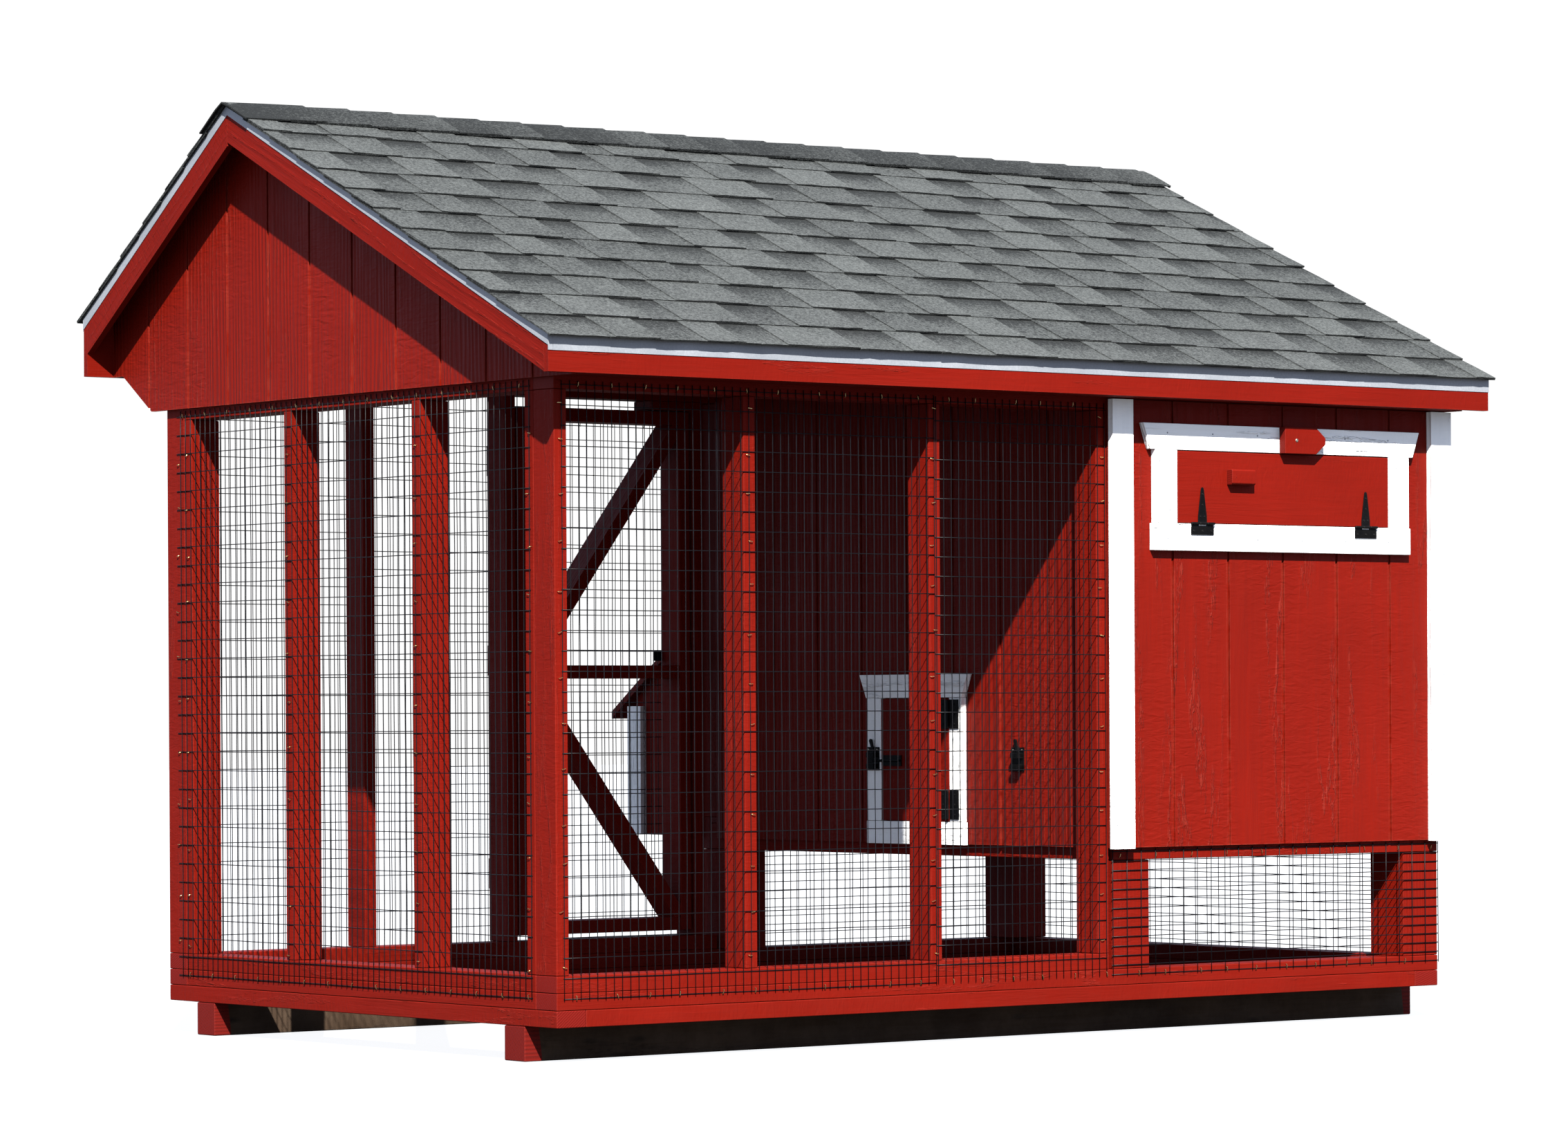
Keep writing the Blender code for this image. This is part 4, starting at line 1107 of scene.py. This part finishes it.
def makeRunDoor():
    bm = newMesh()
    (x0, x1), (y0, y1), (z0, z1) = runDoor["x"], runDoor["y"], runDoor["z"]
    thin, inset = board["thin"], board["thin"] + gap
    for x in (x0, x1 - thin):
        plank(bm, (x, y0, z0), (x + thin, y1, z1), "z")
    for z in (z0, z1 - thin, runDoor["rail"][0]):
        plank(bm, (x0 + inset, y0, z), (x1 - inset, y1, z + thin), "x", None)
    for tip in runDoor["tips"]:  # braces
        a, b = Vector((x0 + inset, runDoor["rail"][1])), Vector((x1 - inset, tip))
        side = (b - a).normalized() * thin / 2
        side = Vector((-side.y, side.x))
        outline = [tuple(a + side), tuple(b + side), tuple(b - side), tuple(a - side)]
        prism(bm, outline, "y", y0 + 0.05, y1 - 0.05, (b.x - a.x, 0, b.y - a.y))
    finishPiece("run_door_boards", bm, redBoards, "run_door", ("run_door",), bevel=0.07)
    leaf0, leaf1 = 72.02, 72.12  # faces of the leaves
    for i, z in enumerate(runDoor["hinges"]):
        top = z + runDoor["leaf"]
        hingeLeaf(f"run_hinge_{i}", (43.62, leaf0, z), (45.0, leaf1, top), (44.45, leaf1), (0, 1, 0),
                  "run_door", runDoor["pin"], slot="run_strike")
        hingeLeaf(f"run_leaf_{i}", (41.95, leaf0, z), (43.36, leaf1, top), (42.55, leaf1), (0, 1, 0),
                  "coop", slot="run_latch")


nest = {"x": (71.6, 120.2), "y": (72.52, 84.4), "foot": 16.4, "thin": 0.75, "under": 0.95, "lid": 0.9,
        "lidX": (70.7, 121.1), "lidY": (73.37, 88.0), "tipZ": 30.9, "rise": 0.673, "hinge": (73.33, 40.95)}


def lidZ(y, lift=0.0):
    return nest["tipZ"] + (nest["lidY"][1] - y) * nest["rise"] - lift


def makeNestBox():
    (x0, x1), (y0, y1), foot, thin = nest["x"], nest["y"], nest["foot"], nest["thin"]
    x0In, x1In, yIn = x0 + thin + 0.01, x1 - thin - 0.01, y1 - thin
    bm = newMesh()

    def cheek(start, end, axisEnds, along):
        tops = [(y, lidZ(y, nest["under"])) for y in (end, start)]
        prism(bm, [(start, foot), (end, foot), *tops], "x", *axisEnds, along)
    for x in (x0, x1 - thin):
        cheek(y0, y1, (x, x + thin), (0, 0, 1))
    plank(bm, (x0In, y0 + 0.01, foot), (x1In, yIn - 0.01, foot + thin), "x", None)
    cheek(yIn, y1, (x0In, x1In), (1, 0, 0))
    for i in range(1, 4):
        x = x0 + thin + i * (x1 - x0 - 2 * thin) / 4
        plank(bm, (x - 0.3, y0 + 0.02, foot + thin + 0.01), (x + 0.3, yIn - 0.01, 29.5), "y", None)
    plank(bm, (x0, y0, 38.8), (x1, 73.3, 41.6), "x")
    finishPiece("nest_walls", bm, redBoards, cad=("nest_box",), bevel=0.06)
    bm = newMesh()
    near, tip = nest["lidY"]
    for i in range(4):
        a, b = (near + k * (tip - near) / 4 for k in (i, i + 1))
        b -= gap
        outline = [(a, lidZ(a, nest["lid"])), (b, lidZ(b, nest["lid"])), (b, lidZ(b)), (a, lidZ(a))]
        prism(bm, outline, "x", *nest["lidX"], (1, 0, 0), 1)
    finishPiece("nest_lid_boards", bm, redBoards, "nest_lid", ("nest_lid",), bevel=0.05)
    bm = newMesh()
    for x in (78.0, 96.0, 114.0):
        addRod(bm, (x - 1.5, *nest["hinge"]), (x + 1.5, *nest["hinge"]), 0.15)
    finishPiece("nest_lid_hinges", bm, ("blackPowder",), "coop", slot="nest_box")


def makeFloor():
    bm = bmesh.new()
    bmesh.ops.create_grid(bm, x_segments=8, y_segments=8, size=60.0)
    mesh = bpy.data.meshes.new("floor")
    bm.to_mesh(mesh)
    bm.free()
    floor = bpy.data.objects.new("floor", mesh)
    floor.location.z = -0.0005
    mesh.materials.append(mats["floor"])
    scene.collection.objects.link(floor)


def makeDripCorners():
    low, high = local("drip_edge")
    bm = newMesh()
    for a, b in ((low.x + 0.005, -3.28), (123.28, high.x - 0.005)):
        plank(bm, (a, low.y, low.z), (b, low.y + 0.05, 67.3), "x", None)
        plank(bm, (a, high.y - 0.05, 72.6), (b, high.y, 73.95), "x", None)
    finishPiece("drip_corners", bm, ("whiteMetalWithPaintedShade",), slot="drip_edge", bevel=0.01)


def dressFrame():
    dress("siding", *("house_wall_" + side for side in ("front", "back", "right", "run_side")),
          "gable_panel_left", bevel=0.05)
    dress("whiteUp", "nest_trim_left", "nest_trim_right", bevel=0.07)
    for side, finish in (("front", "rakeFront"), ("back", "rakeBack")):
        for end in ("left", "right"):
            dress("whiteUp", f"corner_trim_{side}_{end}", bevel=0.07)
            dress(finish, f"rake_board_{side}_{end}", bevel=0.07)
    dress("level", "fascia_front", "fascia_back", "soffit_front")
    dress("whiteMetalWithPaintedShade", "drip_edge", bevel=0)
    dress("deck", "roof_deck_front", "roof_deck_back", bevel=0)
    for latch in ("pop_latch", "hold_latch", "run_latch"):
        dress("blackPowder", latch, latch + "_lever", bevel=0.03)
    dress("blackPowder", "pop_strike", "run_strike", bevel=0.03)


# strand board under the shingles: long flakes lying every way
def strandBoard():
    mat, tree, shader = newMaterial("strandBoard")
    where = objectPlace(tree)
    bend = noise(tree, where, 14.0, 2.0)
    push = addNode(tree, "ShaderNodeVectorMath", {0: bend.node.outputs["Color"], 1: (0.05, 0.05, 0.05)},
                   operation="MULTIPLY")
    moved = addNode(tree, "ShaderNodeVectorMath", {0: where, 1: push.outputs[0]}, operation="ADD")
    long = stretch(tree, moved.outputs[0], (14, 60, 60))
    flake = addNode(tree, "ShaderNodeTexVoronoi", {"Vector": long, "Scale": 1.0})
    shade = addNode(tree, "ShaderNodeSeparateColor", {0: flake.outputs["Color"]})
    colour = mixColour(tree, shade.outputs[0], (0.04, 0.024, 0.011), (0.1, 0.068, 0.035))
    tree.links.new(colour, shader.inputs["Base Color"])
    tree.links.new(maths(tree, "MULTIPLY_ADD", shade.outputs[1], 0.2, 0.65), shader.inputs["Roughness"])
    bumpTo(tree, shader, flake.outputs["Distance"], 0.5, 0.001)
    return mat


mats["deck"] = strandBoard()

makeCamera()
makeLight()
makeBase()
makeFrames()
makeRafters()
print("boards done")
makeShingles()
makeRidge()
makeWires()
makeStaples()
print("roof, wires and staples done")
makeDropDoor()
makePopDoor()
makeRunDoor()
makeNestBox()
makeLatchScrews()
dressFrame()
makeDripCorners()
makeFloor()
print("doors, hardware and floor done")
